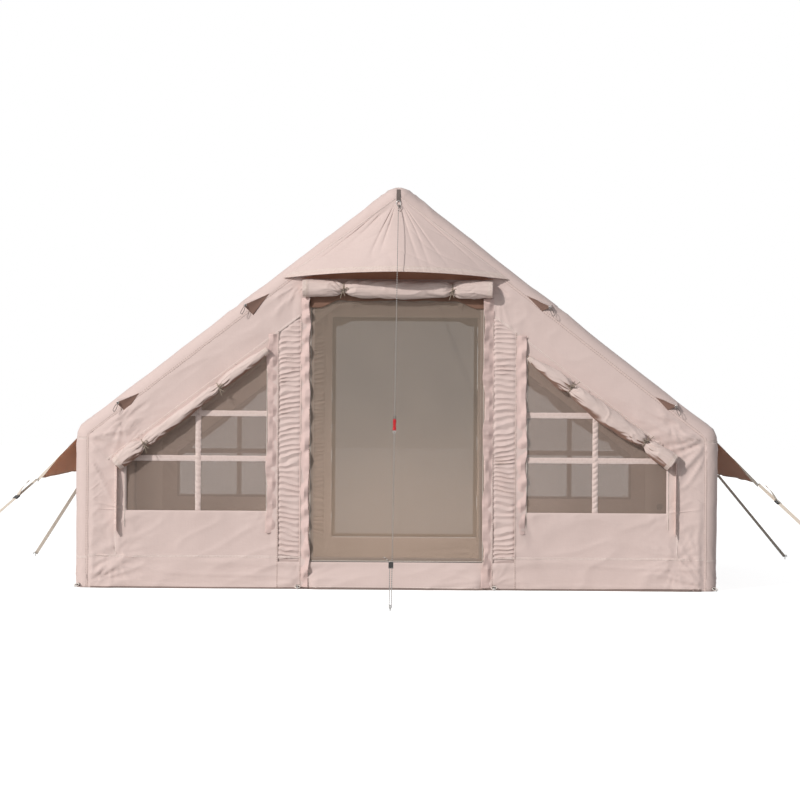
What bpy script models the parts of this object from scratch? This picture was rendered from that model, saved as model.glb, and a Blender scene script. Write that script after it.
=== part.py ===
"""Inflatable house tent.

Air beams in cloth sleeves make two house-shaped arches joined by a ridge beam and two eave beams. A sewn
cloth skin wraps them. Both gables have a mesh door, two barred mesh windows, rolled covers and a hood. Wings
at the eaves are held out by pegged webbing straps, and one guyline holds the front apex.

Frame: origin on the ground at the middle of the floor, +X to the right seen from the front, -Y to the front.
"""
import math

import bmesh
import bpy
from mathutils import Matrix, Vector

# Overall size of the pitched tent, measured over the cloth
BODY_WIDTH = 4.0
BODY_DEPTH = 3.0
EAVE_HEIGHT = 0.99
RIDGE_HEIGHT = 2.54

# Cloth, seams and the rounding of the skin
CLOTH = 0.003
SEAM_GAP = 0.0003
EDGE_SLACK = 0.02
CORNER_RADIUS = 0.04

# Air beams, measured across the flats of their faceted tubes
BEAM_DIAMETER = 0.20
BEAM_CLEARANCE = 0.002
SLEEVE_WALL = 0.002
BLADDER_WALL = 0.0015
INNER_BEND_RADIUS = 0.015
PORT_RADIUS = 0.013
PORT_WALL = 0.003
PORT_REACH = 0.008
COPE_SHARE = 0.6

# Inflation valve on each arch
VALVE_HEIGHT = 0.42
VALVE_FLANGE_RADIUS = 0.024
VALVE_FLANGE = 0.004
VALVE_NECK = 0.016
VALVE_NECK_RADIUS = 0.017
CAP_WALL = 0.0025
CAP_CLEARANCE = 0.0008

# Groundsheet and the feet that stand on it
GROUNDSHEET = 0.003

# Door, its threshold and its slider
DOOR_HALF_WIDTH = 0.545
DOOR_HEAD_MARGIN = 0.032
THRESHOLD = 0.17
DOOR_CLEARANCE = 0.003
DOOR_MESH = 0.002
DOOR_SWING_LIFT = 0.0005
SLIDER_WIDTH = 0.010
SLIDER_BODY = 0.018
SLIDER_DEPTH = 0.006
SLIDER_TAB = 0.034
SLIDER_TAB_DEPTH = 0.0022
SLIDER_OFFSET = 0.012

# Windows and their sewn bars
JAMB_WIDTH = 0.265
WINDOW_SILL = 0.485
WINDOW_LEG_MARGIN = 0.1165
WINDOW_RAFTER_MARGIN = 0.1465
WINDOW_LAP = 0.02
WINDOW_MESH = 0.0015
BAR_WIDTH = 0.036
BAR_THICKNESS = 0.0024
MULLION_OFFSET = 0.425
LOWER_BAR_RISE = 0.325
BAR_PITCH = 0.28

# Rolled covers
DOOR_ROLL_RADIUS = 0.055
DOOR_ROLL_OVERHANG = 0.045
DOOR_ROLL_RISE = 0.05
DOOR_TIE_OFFSET = 0.335
COVER_ROLL_RADIUS = 0.052
COVER_ROLL_RISE = 0.036
COVER_INNER_OVERHANG = 0.04
COVER_OUTER_OVERHANG = 0.07
COVER_TIE_INSET = 0.24
TIE_HALF_WIDTH = 0.03
TIE_SQUEEZE_SHARE = 0.24
ROLL_END_SHARE = 0.72
ROLL_END_LENGTH = 0.012

# Hoods
HOOD_TOP_DROP = 0.10
HOOD_TOP_HALF_WIDTH = 0.02
HOOD_EDGE_INSET = 0.055
HOOD_BULGE = 0.25
HOOD_ARCH = 0.03
HOOD_HEM_CLEARANCE = 0.012
HOOD_BULGE_POWER = 1.6

# Eave wings
WING_REACH = 0.30
WING_DROP = 0.265
WING_SETBACK = 0.32
WING_SWEEP = 0.07

# Straps, buckles and pegs
STRAP_WIDTH = 0.025
STRAP_THICKNESS = 0.002
STRAP_FOOT_HEIGHT = 0.016
BUCKLE_LENGTH = 0.034
BUCKLE_MARGIN = 0.006
BUCKLE_THICKNESS = 0.008
BUCKLE_SLOT_CLEARANCE = 0.001
BUCKLE_DISTANCE = 0.19
PEG_RADIUS = 0.004
PEG_HEAD_HEIGHT = 0.036
PEG_BEND_RADIUS = 0.009
PEG_HOOK_DROP = 0.007

# How far each strap's peg stands outside the side wall and past the gable
FRONT_PEG_ASIDE = 0.93
FRONT_PEG_AHEAD = 0.38
REAR_LEFT_PEG_ASIDE = 0.78
REAR_LEFT_PEG_BEHIND = 0.14
REAR_RIGHT_PEG_ASIDE = 0.92
REAR_RIGHT_PEG_BEHIND = 0.45

# Front guyline
CORD_RADIUS = 0.002
GUY_REACH = 1.6
GUY_FOOT_HEIGHT = 0.021
ANCHOR_WIDTH = 0.026
ANCHOR_TAIL = 0.012
RING_RADIUS = 0.014
RING_WIRE = 0.002
RUNNER_DISTANCE = 1.21
RUNNER_LENGTH = 0.075
RUNNER_RADIUS = 0.011
RUNNER_BORE = 0.0032
TENSIONER_DISTANCE = 0.25
TENSIONER_LENGTH = 0.036
TENSIONER_WIDTH = 0.027
TENSIONER_THICKNESS = 0.010
CORD_TAIL = 0.05

# Numbers of facets
BEAM_SIDES = 12
ROUND_SIDES = 16
SMALL_SIDES = 12
APEX_STEPS = 3
EAVE_STEPS = 4
EDGE_STEPS = 5
HOOD_COLUMNS = 12
HOOD_ROWS = 6
WING_STATIONS = 10

# How far every cutting tool reaches past what it cuts
CUT_OVERRUN = 0.02

ROOF_ANGLE = math.atan2(RIDGE_HEIGHT - EAVE_HEIGHT, BODY_WIDTH / 2)
BEAM_FLAT = BEAM_DIAMETER / 2
EDGE_RADIUS = BEAM_FLAT - EDGE_SLACK
SKIN_ROUNDING = EDGE_RADIUS + CORNER_RADIUS
BEAM_INSET = CLOTH + BEAM_CLEARANCE + BEAM_FLAT
BEAM_DEPTH_INSET = BEAM_INSET + BEAM_FLAT
BEAM_ROUNDING = BEAM_INSET + BEAM_FLAT / math.cos(math.pi / BEAM_SIDES) + INNER_BEND_RADIUS
GABLE_Y = BODY_DEPTH / 2
ARCH_Y = GABLE_Y - BEAM_INSET
DOOR_HEAD = (
    RIDGE_HEIGHT
    - DOOR_HALF_WIDTH * math.tan(ROOF_ANGLE)
    - (BEAM_DEPTH_INSET + DOOR_HEAD_MARGIN) / math.cos(ROOF_ANGLE)
)
DOOR_ROLL_HEIGHT = DOOR_HEAD + DOOR_ROLL_RISE
HEM_HEIGHT = DOOR_ROLL_HEIGHT + DOOR_ROLL_RADIUS + HOOD_HEM_CLEARANCE
EAVE_SEAM_HEIGHT = EAVE_HEIGHT - SKIN_ROUNDING * math.tan((math.pi / 2 - ROOF_ANGLE) / 2)


# Materials

PALETTE = {
    "sand cloth": ((0.60, 0.47, 0.40), 0.85, 0.0),
    "shaded lining cloth": ((0.27, 0.15, 0.10), 0.9, 0.0),
    "brown mesh": ((0.22, 0.17, 0.14), 0.8, 0.0),
    "sand webbing": ((0.57, 0.45, 0.38), 0.8, 0.0),
    "clear bladder film": ((0.75, 0.76, 0.78), 0.3, 0.0),
    "grey floor cloth": ((0.16, 0.16, 0.17), 0.6, 0.0),
    "black plastic": ((0.02, 0.02, 0.022), 0.4, 0.0),
    "red aluminium": ((0.55, 0.05, 0.07), 0.35, 0.8),
    "steel": ((0.55, 0.56, 0.57), 0.35, 1.0),
    "reflective cord": ((0.32, 0.28, 0.26), 0.6, 0.0),
}


def material(name):
    """The named material, made from the palette the first time it is used."""
    found = bpy.data.materials.get(name)
    if found:
        return found
    colour, roughness, metallic = PALETTE[name]
    made = bpy.data.materials.new(name)
    made.use_nodes = True
    shader = made.node_tree.nodes["Principled BSDF"]
    shader.inputs["Base Color"].default_value = (*colour, 1)
    shader.inputs["Roughness"].default_value = roughness
    shader.inputs["Metallic"].default_value = metallic
    made.diffuse_color = (*colour, 1)
    return made


# Making objects

def add_object(name, bm, paint, matrix=None):
    """Turns a bmesh that is in world coordinates into an object whose own frame is matrix."""
    frame = matrix or Matrix.Identity(4)
    bmesh.ops.recalc_face_normals(bm, faces=bm.faces)
    mesh = bpy.data.meshes.new(name)
    bm.to_mesh(mesh)
    bm.free()
    mesh.transform(frame.inverted())
    made = bpy.data.objects.new(name, mesh)
    bpy.context.scene.collection.objects.link(made)
    made.matrix_world = frame
    made.data.materials.append(material(paint))
    return made


def as_cutter(target):
    """Marks an object as a tool that other objects are cut with."""
    target.hide_render = True
    target.display_type = "WIRE"
    return target


def combine(target, tool, operation):
    """Adds a Boolean of the tool to the target."""
    boolean = target.modifiers.new(operation.lower(), "BOOLEAN")
    boolean.operation = operation
    boolean.solver = "EXACT"
    boolean.object = tool


def bridge(bm, first, second, closed):
    """Quads between two rows of vertices."""
    last = len(first) if closed else len(first) - 1
    for i in range(last):
        j = (i + 1) % len(first)
        bm.faces.new((first[i], first[j], second[j], second[i]))


def sheet(name, outer, inner, paint):
    """Closed thin solid between two grids of points that match row by row."""
    bm = bmesh.new()
    tops = [[bm.verts.new(p) for p in row] for row in outer]
    backs = [[bm.verts.new(p) for p in row] for row in inner]
    for grid in (tops, backs):
        for i in range(len(grid) - 1):
            bridge(bm, grid[i], grid[i + 1], False)
    for row in (0, -1):
        bridge(bm, tops[row], backs[row], False)
        bridge(bm, [r[row] for r in tops], [r[row] for r in backs], False)
    return add_object(name, bm, paint)


def plate(name, outline, y_from, y_to, paint, matrix=None):
    """Flat plate: an outline of (x, z) points extruded from one depth to another."""
    bm = bmesh.new()
    near = [bm.verts.new((x, y_from, z)) for x, z in outline]
    far = [bm.verts.new((x, y_to, z)) for x, z in outline]
    bridge(bm, near, far, True)
    bm.faces.new(near)
    bm.faces.new(far)
    return add_object(name, bm, paint, matrix)


def turn(bm, profile, matrix, sides, closed):
    """Revolves (radius, height) points about the Z axis of matrix; closed joins the last to the first."""
    rings = []
    for radius, height in profile:
        count = sides if radius > 0 else 1
        angles = [2 * math.pi * (i + 0.5) / sides for i in range(count)]
        ring = [(radius * math.cos(a), radius * math.sin(a), height) for a in angles]
        rings.append([bm.verts.new(matrix @ Vector(p)) for p in ring])
    pairs = list(zip(rings, rings[1:]))
    if closed:
        pairs.append((rings[-1], rings[0]))
    for first, second in pairs:
        for i in range(sides):
            j = (i + 1) % sides
            corners = [first[i % len(first)], first[j % len(first)]]
            corners += [second[j % len(second)], second[i % len(second)]]
            bm.faces.new(tuple(dict.fromkeys(corners)))


def turned(name, profile, matrix, sides, paint, closed=False):
    """A turned solid as an object whose frame is matrix."""
    bm = bmesh.new()
    turn(bm, profile, matrix, sides, closed)
    return add_object(name, bm, paint, matrix)


def frame_along(origin, direction, side_hint=Vector((1, 0, 0))):
    """Frame with its Z axis along direction and its X axis as near to side_hint as it can be."""
    z_axis = Vector(direction).normalized()
    y_axis = z_axis.cross(side_hint).normalized()
    x_axis = y_axis.cross(z_axis)
    rotation = Matrix((x_axis, y_axis, z_axis)).transposed()
    return Matrix.Translation(Vector(origin)) @ rotation.to_4x4()


def wire(name, points, radius, paint):
    """Round rod or cord along points, with filled caps."""
    curve = bpy.data.curves.new(name, "CURVE")
    curve.dimensions = "3D"
    curve.bevel_depth = radius
    curve.bevel_resolution = 2
    curve.use_fill_caps = True
    spline = curve.splines.new("POLY")
    spline.points.add(len(points) - 1)
    for place, point in zip(spline.points, points):
        place.co = point.to_4d()
    curve.materials.append(material(paint))
    made = bpy.data.objects.new(name, curve)
    bpy.context.scene.collection.objects.link(made)
    return made


# House outline

def roof_height(x, inset):
    """Height of the roof line that lies inset within the cloth's face, at a distance x from the middle."""
    return RIDGE_HEIGHT - x * math.tan(ROOF_ANGLE) - inset / math.cos(ROOF_ANGLE)


def apex_arc(angle, radius, rounding):
    """(x, z) on the arc that rounds the apex, at an angle from straight up."""
    centre = roof_height(0, rounding)
    return (radius * math.sin(angle), centre + radius * math.cos(angle))


def eave_arc(angle, inset, rounding):
    """(x, z) on the arc that rounds the right eave, at an angle from straight up."""
    centre_x = BODY_WIDTH / 2 - rounding
    centre_z = roof_height(centre_x, rounding)
    radius = rounding - inset
    return (centre_x + radius * math.sin(angle), centre_z + radius * math.cos(angle))


def half_outline(inset, rounding, foot):
    """(x, z) points from the apex over the right roof, round the eave and down the wall to the foot."""
    turns = [ROOF_ANGLE * i / APEX_STEPS for i in range(APEX_STEPS + 1)]
    apex = [apex_arc(turn_angle, rounding - inset, rounding) for turn_angle in turns]
    bend = math.pi / 2 - ROOF_ANGLE
    eave = [eave_arc(ROOF_ANGLE + bend * i / EAVE_STEPS, inset, rounding) for i in range(EAVE_STEPS + 1)]
    return apex + eave + [(BODY_WIDTH / 2 - inset, foot)]


def full_outline(inset, rounding, foot):
    """(x, z) points of the whole house outline from the left foot over the apex to the right foot."""
    right = half_outline(inset, rounding, foot)
    left = [(-x, z) for x, z in reversed(right[1:])]
    return left + right


# Air-beam frame

def beam_ring(flat):
    """(across, outwards) offsets of a faceted tube whose facets lie at the distance flat from its axis."""
    radius = flat / math.cos(math.pi / BEAM_SIDES)
    angles = [2 * math.pi * (i + 0.5) / BEAM_SIDES for i in range(BEAM_SIDES)]
    return [(radius * math.cos(a), radius * math.sin(a)) for a in angles]


def arch_rings(bm, flat, y_middle, foot):
    """Rings of vertices along the house outline, for one layer of an arch."""
    lines = []
    for across, outwards in beam_ring(flat):
        line = full_outline(BEAM_INSET - outwards, BEAM_ROUNDING, foot)
        lines.append([bm.verts.new((x, y_middle + across, z)) for x, z in line])
    return [list(ring) for ring in zip(*lines)]


def skin_of_rings(bm, rings):
    """Quads round a tube given as rings."""
    for first, second in zip(rings, rings[1:]):
        bridge(bm, first, second, True)


def arch_sleeve(name, side):
    """Cloth tube of an arch, open at both feet."""
    foot = GROUNDSHEET + SEAM_GAP
    bm = bmesh.new()
    outer = arch_rings(bm, BEAM_FLAT, side * ARCH_Y, foot)
    inner = arch_rings(bm, BEAM_FLAT - SLEEVE_WALL, side * ARCH_Y, foot)
    skin_of_rings(bm, outer)
    skin_of_rings(bm, inner)
    for end in (0, -1):
        bridge(bm, outer[end], inner[end], True)
    return add_object(name, bm, "sand cloth")


def closed_arch(name, side, flat, foot, paint, lining=None):
    """Arch with closed ends; a lining layer of a smaller size hollows it."""
    bm = bmesh.new()
    layers = [(flat, foot)] + ([lining] if lining else [])
    for layer_flat, layer_foot in layers:
        rings = arch_rings(bm, layer_flat, side * ARCH_Y, layer_foot)
        skin_of_rings(bm, rings)
        bm.faces.new(rings[0])
        bm.faces.new(rings[-1])
    made = add_object(name, bm, paint)
    if lining:
        face_hollow_inwards(made, len(made.data.polygons) // 2)
    return made


def face_hollow_inwards(target, first):
    """Turns the faces from the given index on, which line a hollow, towards that hollow."""
    mesh = bmesh.new()
    mesh.from_mesh(target.data)
    mesh.faces.ensure_lookup_table()
    lining = mesh.faces[first:]
    if lining[0].normal.dot(away_from_hollow(mesh, lining)) > 0:
        bmesh.ops.reverse_faces(mesh, faces=lining)
    mesh.to_mesh(target.data)
    mesh.free()


def away_from_hollow(mesh, faces):
    """Direction from the middle of a closed shell's first ring of faces to its first face."""
    ring = faces[:BEAM_SIDES]
    middle = sum((f.calc_center_median() for f in ring), Vector()) / len(ring)
    return faces[0].calc_center_median() - middle


def beam_axes():
    """(name, x, z, facet turn) of the beams that join the arches, on their centre line at each bend."""
    ridge_x, ridge_z = apex_arc(0, BEAM_ROUNDING - BEAM_INSET, BEAM_ROUNDING)
    turn_angle = (ROOF_ANGLE + math.pi / 2) / 2
    eave_x, eave_z = eave_arc(turn_angle, BEAM_INSET, BEAM_ROUNDING)
    return (
        ("ridge_beam", ridge_x, ridge_z, 0),
        ("left_eave_beam", -eave_x, eave_z, -turn_angle),
        ("right_eave_beam", eave_x, eave_z, turn_angle),
    )


def beam_frame(x, z, facet_turn):
    """Frame at the middle of a joining beam, its Z axis to the rear."""
    facets = Matrix.Rotation(facet_turn, 4, "Y")
    to_rear = Matrix.Rotation(-math.pi / 2, 4, "X")
    return Matrix.Translation((x, 0, z)) @ facets @ to_rear


def joining_beam(name, x, z, facet_turn, envelopes):
    """Sleeve and bladder of a beam that runs between the arches; the bladder's nipples enter theirs."""
    frame = beam_frame(x, z, facet_turn)
    outer = BEAM_FLAT / math.cos(math.pi / BEAM_SIDES)
    inner = (BEAM_FLAT - SLEEVE_WALL) / math.cos(math.pi / BEAM_SIDES)
    half = ARCH_Y - BEAM_FLAT * COPE_SHARE
    sleeve = turned(
        f"{name}_sleeve",
        [(outer, -half), (outer, half), (inner, half), (inner, -half)],
        frame,
        BEAM_SIDES,
        "sand cloth",
        closed=True,
    )
    for envelope in envelopes:
        combine(sleeve, envelope, "DIFFERENCE")
    skin = (BEAM_FLAT - SLEEVE_WALL - BEAM_CLEARANCE) / math.cos(math.pi / BEAM_SIDES)
    end = ARCH_Y - BEAM_FLAT - BEAM_CLEARANCE
    tip = end + BEAM_CLEARANCE * 2 + SLEEVE_WALL + BLADDER_WALL + PORT_REACH
    bore = PORT_RADIUS - PORT_WALL
    half_profile = [(skin, end), (PORT_RADIUS, end), (PORT_RADIUS, tip), (bore, tip)]
    lining = [(bore, end - BLADDER_WALL), (skin - BLADDER_WALL, end - BLADDER_WALL)]
    upper = half_profile + lining
    lower = [(radius, -height) for radius, height in reversed(upper)]
    turned(f"{name}_bladder", upper + lower, frame, BEAM_SIDES, "clear bladder film", closed=True)


def port_cutter(name, side):
    """Holes through an arch's inner wall for the beams' nipples and the valve stem."""
    bm = bmesh.new()
    start = side * (ARCH_Y - BEAM_FLAT * COPE_SHARE)
    finish = side * (ARCH_Y - BEAM_FLAT - CUT_OVERRUN)
    places = [(x, z) for _, x, z, _ in beam_axes()] + [valve_place()]
    radius = (PORT_RADIUS + SEAM_GAP) / math.cos(math.pi / SMALL_SIDES)
    for x, z in places:
        at = frame_along((x, start, z), (0, finish - start, 0))
        length = abs(finish - start)
        turn(bm, [(0, 0), (radius, 0), (radius, length), (0, length)], at, SMALL_SIDES, False)
    return as_cutter(add_object(name, bm, "black plastic"))


def valve_place():
    """(x, z) of the inflation valve on the right leg of an arch."""
    return (BODY_WIDTH / 2 - BEAM_INSET, VALVE_HEIGHT)


def valve(name, side):
    """Valve body through the sleeve and bladder, and the cap that turns on its neck."""
    x, z = valve_place()
    seat = side * (ARCH_Y - BEAM_FLAT - SEAM_GAP)
    frame = frame_along((x, seat, z), (0, -side, 0))
    stem = SEAM_GAP + BEAM_CLEARANCE + SLEEVE_WALL + BLADDER_WALL + PORT_REACH
    bore = PORT_RADIUS - PORT_WALL
    neck_top = VALVE_FLANGE + VALVE_NECK
    body = [
        (bore, -stem),
        (PORT_RADIUS, -stem),
        (PORT_RADIUS, 0),
        (VALVE_FLANGE_RADIUS, 0),
        (VALVE_FLANGE_RADIUS, VALVE_FLANGE),
        (VALVE_NECK_RADIUS, VALVE_FLANGE),
        (VALVE_NECK_RADIUS, neck_top),
        (bore, neck_top),
    ]
    turned(f"{name}_valve_body", body, frame, ROUND_SIDES, "black plastic", closed=True)
    inside = VALVE_NECK_RADIUS + CAP_CLEARANCE
    outside = inside + CAP_WALL
    rim = VALVE_FLANGE + SEAM_GAP
    roof = neck_top + SEAM_GAP
    cap = [
        (0, roof),
        (inside, roof),
        (inside, rim),
        (outside, rim),
        (outside, roof),
        (outside - CAP_WALL / 2, roof + CAP_WALL),
        (0, roof + CAP_WALL),
    ]
    turned(f"{name}_valve_cap", cap, frame, ROUND_SIDES, "black plastic")


def air_frame():
    """Both arches, the three beams between them and the valves."""
    sides = (("front", -1), ("rear", 1))
    envelope_foot = GROUNDSHEET
    envelopes = []
    for name, side in sides:
        tool = closed_arch(f"cut_{name}_envelope", side, BEAM_FLAT + SEAM_GAP, envelope_foot, "sand cloth")
        envelopes.append(as_cutter(tool))
    skin = BEAM_FLAT - SLEEVE_WALL - BEAM_CLEARANCE
    foot = GROUNDSHEET + SEAM_GAP * 2
    for name, side in sides:
        ports = port_cutter(f"cut_{name}_ports", side)
        combine(arch_sleeve(f"{name}_arch_sleeve", side), ports, "DIFFERENCE")
        lining = (skin - BLADDER_WALL, foot + BLADDER_WALL)
        bladder = closed_arch(f"{name}_arch_bladder", side, skin, foot, "clear bladder film", lining)
        combine(bladder, ports, "DIFFERENCE")
        valve(name, side)
    for beam in beam_axes():
        joining_beam(*beam, envelopes)


# Sewn skin

def edge_sections(depth):
    """(y, inset) of the skin's cross-sections from the front seam round both edges to the rear seam."""
    radius = EDGE_RADIUS - depth
    turns = [math.pi / 2 * i / EDGE_STEPS for i in range(EDGE_STEPS + 1)]
    centre_y = GABLE_Y - EDGE_RADIUS
    rear = [(centre_y + radius * math.cos(t), EDGE_RADIUS - radius * math.sin(t)) for t in turns]
    return [(-y, inset) for y, inset in rear] + list(reversed(rear))


def roof_grid(depth, mirror):
    """Points of one face of a roof panel: ridge seam to eave seam, front seam to rear seam."""
    rows = []
    for y, inset in edge_sections(depth):
        line = half_outline(inset, SKIN_ROUNDING, 0)[:-1]
        rows.append([(mirror * max(x, SEAM_GAP / 2), y, z) for x, z in line])
    return rows


def wall_grid(depth, mirror):
    """Points of one face of a side wall: eave seam to ground, front seam to rear seam."""
    top = EAVE_SEAM_HEIGHT - SEAM_GAP
    return [
        [(mirror * (BODY_WIDTH / 2 - inset), y, z) for z in (top, 0)]
        for y, inset in edge_sections(depth)
    ]


def window_outline(grow):
    """(x, z) corners of the right window's opening, grown outwards on every side."""
    inner = DOOR_HALF_WIDTH + JAMB_WIDTH - grow
    outer = BODY_WIDTH / 2 - BEAM_DEPTH_INSET - WINDOW_LEG_MARGIN + grow
    sill = WINDOW_SILL - grow
    drop = BEAM_DEPTH_INSET + WINDOW_RAFTER_MARGIN - grow
    slanted_edge = [(outer, roof_height(outer, drop)), (inner, roof_height(inner, drop))]
    return [(inner, sill), (outer, sill)] + slanted_edge


def door_outline(shrink):
    """(x, z) corners of the door opening, drawn in on every side."""
    half = DOOR_HALF_WIDTH - shrink
    low = THRESHOLD + shrink
    high = DOOR_HEAD - shrink
    return [(-half, low), (half, low), (half, high), (-half, high)]


def mirrored(outline, mirror):
    """Outline of the right side, or of the left where mirror is -1."""
    return [(mirror * x, z) for x, z in outline]


def gable_wall(name, side):
    """Gable panel with its door and window openings."""
    outline = full_outline(EDGE_RADIUS + SEAM_GAP, SKIN_ROUNDING, 0)
    wall = plate(f"{name}_wall", outline, side * GABLE_Y, side * (GABLE_Y - CLOTH), "sand cloth")
    near = side * (GABLE_Y + CUT_OVERRUN)
    far = side * (GABLE_Y - CUT_OVERRUN)
    holes = [
        ("door", door_outline(0)),
        ("left_window", mirrored(window_outline(0), -1)),
        ("right_window", window_outline(0)),
    ]
    for hole, shape in holes:
        cutter = as_cutter(plate(f"cut_{name}_{hole}", shape, near, far, "sand cloth"))
        combine(wall, cutter, "DIFFERENCE")


def groundsheet():
    """Floor between the walls, its corners rounded to follow theirs."""
    inset = CLOTH + SEAM_GAP
    radius = EDGE_RADIUS - inset
    centre_x = BODY_WIDTH / 2 - EDGE_RADIUS
    centre_y = GABLE_Y - EDGE_RADIUS
    outline = []
    for quarter, (sign_x, sign_y) in enumerate(((1, 1), (-1, 1), (-1, -1), (1, -1))):
        for i in range(EDGE_STEPS + 1):
            angle = math.pi / 2 * (quarter + i / EDGE_STEPS)
            x = sign_x * centre_x + radius * math.cos(angle)
            y = sign_y * centre_y + radius * math.sin(angle)
            outline.append((x, y))
    bm = bmesh.new()
    low = [bm.verts.new((x, y, 0)) for x, y in outline]
    high = [bm.verts.new((x, y, GROUNDSHEET)) for x, y in outline]
    bridge(bm, low, high, True)
    bm.faces.new(low)
    bm.faces.new(high)
    add_object("groundsheet", bm, "grey floor cloth")


def skin():
    """Roof panels, side walls, gables and floor."""
    for name, mirror in (("left", -1), ("right", 1)):
        sheet(f"{name}_roof_panel", roof_grid(0, mirror), roof_grid(CLOTH, mirror), "sand cloth")
        sheet(f"{name}_side_wall", wall_grid(0, mirror), wall_grid(CLOTH, mirror), "sand cloth")
    gable_wall("front", -1)
    gable_wall("rear", 1)
    groundsheet()


# Windows, doors and their rolls

def window(name, side, mirror):
    """Mesh behind a window opening and the sewn bars in front of it."""
    back = GABLE_Y - CLOTH - SEAM_GAP
    mesh_shape = mirrored(window_outline(WINDOW_LAP), mirror)
    plate(f"{name}_window_mesh", mesh_shape, side * back, side * (back - WINDOW_MESH), "brown mesh")
    near = side * (GABLE_Y - CLOTH + BAR_THICKNESS)
    far = side * (GABLE_Y - CLOTH)
    corners = window_outline(CUT_OVERRUN)
    inner, outer = corners[0][0], corners[1][0]
    low, high = corners[0][1], corners[3][1]
    middle = DOOR_HALF_WIDTH + JAMB_WIDTH + MULLION_OFFSET
    half = BAR_WIDTH / 2
    lower = WINDOW_SILL + LOWER_BAR_RISE
    upper = lower + BAR_PITCH
    mullion = [(middle - half, low), (middle + half, low), (middle + half, high), (middle - half, high)]
    bars = plate(f"{name}_window_bars", mirrored(mullion, mirror), near, far, "sand webbing")
    for label, height in (("lower", lower), ("upper", upper)):
        rail_low = [(inner, height - half), (outer, height - half)]
        rail_high = [(outer, height + half), (inner, height + half)]
        shape = mirrored(rail_low + rail_high, mirror)
        tool = as_cutter(plate(f"cut_{name}_{label}_bar", shape, near, far, "sand webbing"))
        combine(bars, tool, "UNION")
    trim_near = side * (GABLE_Y + CUT_OVERRUN)
    trim_far = side * (GABLE_Y - CUT_OVERRUN)
    trim_shape = mirrored(window_outline(-SEAM_GAP), mirror)
    trim = as_cutter(plate(f"cut_{name}_window_trim", trim_shape, trim_near, trim_far, "sand webbing"))
    combine(bars, trim, "INTERSECT")


def mesh_door(name, side):
    """Mesh door hung from its top seam, its origin on the seam."""
    face = side * (GABLE_Y - DOOR_SWING_LIFT)
    back = side * (GABLE_Y - DOOR_SWING_LIFT - DOOR_MESH)
    hinge = Matrix.Translation((0, (face + back) / 2, DOOR_HEAD - DOOR_CLEARANCE))
    plate(f"{name}_mesh_door", door_outline(DOOR_CLEARANCE), face, back, "brown mesh", hinge)


def roll_profile(length, start_radius, end_radius, ties):
    """(radius, distance) along a rolled cover, drawn in at its ends and at its ties."""
    stations = [0, ROLL_END_LENGTH]
    for tie in ties:
        stations += [tie - TIE_HALF_WIDTH, tie - TIE_HALF_WIDTH / 3]
        stations += [tie + TIE_HALF_WIDTH / 3, tie + TIE_HALF_WIDTH]
    stations += [length - ROLL_END_LENGTH, length]
    profile = [(0, 0)]
    for distance in sorted(stations):
        radius = start_radius + (end_radius - start_radius) * distance / length
        gap = min(abs(distance - tie) for tie in ties)
        if gap < TIE_HALF_WIDTH / 2:
            radius *= 1 - TIE_SQUEEZE_SHARE
        if distance in (0, length):
            radius *= ROLL_END_SHARE
        profile.append((radius, distance))
    return profile + [(0, length)]


def door_roll(name, side):
    """Rolled cloth door tied above the mesh door."""
    half = DOOR_HALF_WIDTH + DOOR_ROLL_OVERHANG
    y = side * (GABLE_Y + SEAM_GAP + DOOR_ROLL_RADIUS)
    ties = (half - DOOR_TIE_OFFSET, half + DOOR_TIE_OFFSET)
    profile = roll_profile(2 * half, DOOR_ROLL_RADIUS, DOOR_ROLL_RADIUS, ties)
    frame = frame_along((-half, y, DOOR_ROLL_HEIGHT), (1, 0, 0), Vector((0, 0, 1)))
    turned(f"{name}_door_roll", profile, frame, SMALL_SIDES, "sand cloth")


def cover_roll(name, side, mirror):
    """Rolled window cover tied along the window's slanted edge."""
    corners = window_outline(0)
    drop = BEAM_DEPTH_INSET + WINDOW_RAFTER_MARGIN - COVER_ROLL_RISE
    low_x = corners[2][0] + COVER_OUTER_OVERHANG
    high_x = corners[3][0] - COVER_INNER_OVERHANG
    y = side * (GABLE_Y + SEAM_GAP + COVER_ROLL_RADIUS)
    low = Vector((mirror * low_x, y, roof_height(low_x, drop)))
    high = Vector((mirror * high_x, y, roof_height(high_x, drop)))
    length = (high - low).length
    ties = (COVER_TIE_INSET, length - COVER_TIE_INSET)
    profile = roll_profile(length, COVER_ROLL_RADIUS, COVER_ROLL_RADIUS, ties)
    frame = frame_along(low, high - low, Vector((0, 1, 0)))
    turned(f"{name}_cover_roll", profile, frame, SMALL_SIDES, "sand cloth")


def zip_slider(name, side, mirror):
    """Slider of a door zip with its hanging pull, seated on the wall beside the door."""
    face = GABLE_Y + SEAM_GAP
    low = THRESHOLD + DOOR_CLEARANCE + SLIDER_TAB
    high = low + SLIDER_BODY
    tab_back = face + SLIDER_DEPTH - SLIDER_TAB_DEPTH
    shape = [
        (face, low),
        (tab_back, low),
        (tab_back, low - SLIDER_TAB),
        (face + SLIDER_DEPTH, low - SLIDER_TAB),
        (face + SLIDER_DEPTH, high - SLIDER_TAB_DEPTH),
        (face + SLIDER_DEPTH - SLIDER_TAB_DEPTH, high),
        (face, high),
    ]
    middle = mirror * (DOOR_HALF_WIDTH + SLIDER_OFFSET)
    bm = bmesh.new()
    left = [bm.verts.new((middle - SLIDER_WIDTH / 2, side * y, z)) for y, z in shape]
    right = [bm.verts.new((middle + SLIDER_WIDTH / 2, side * y, z)) for y, z in shape]
    bridge(bm, left, right, True)
    bm.faces.new(left)
    bm.faces.new(right)
    add_object(f"{name}_zip_slider", bm, "steel", Matrix.Translation((middle, side * face, low)))


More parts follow.
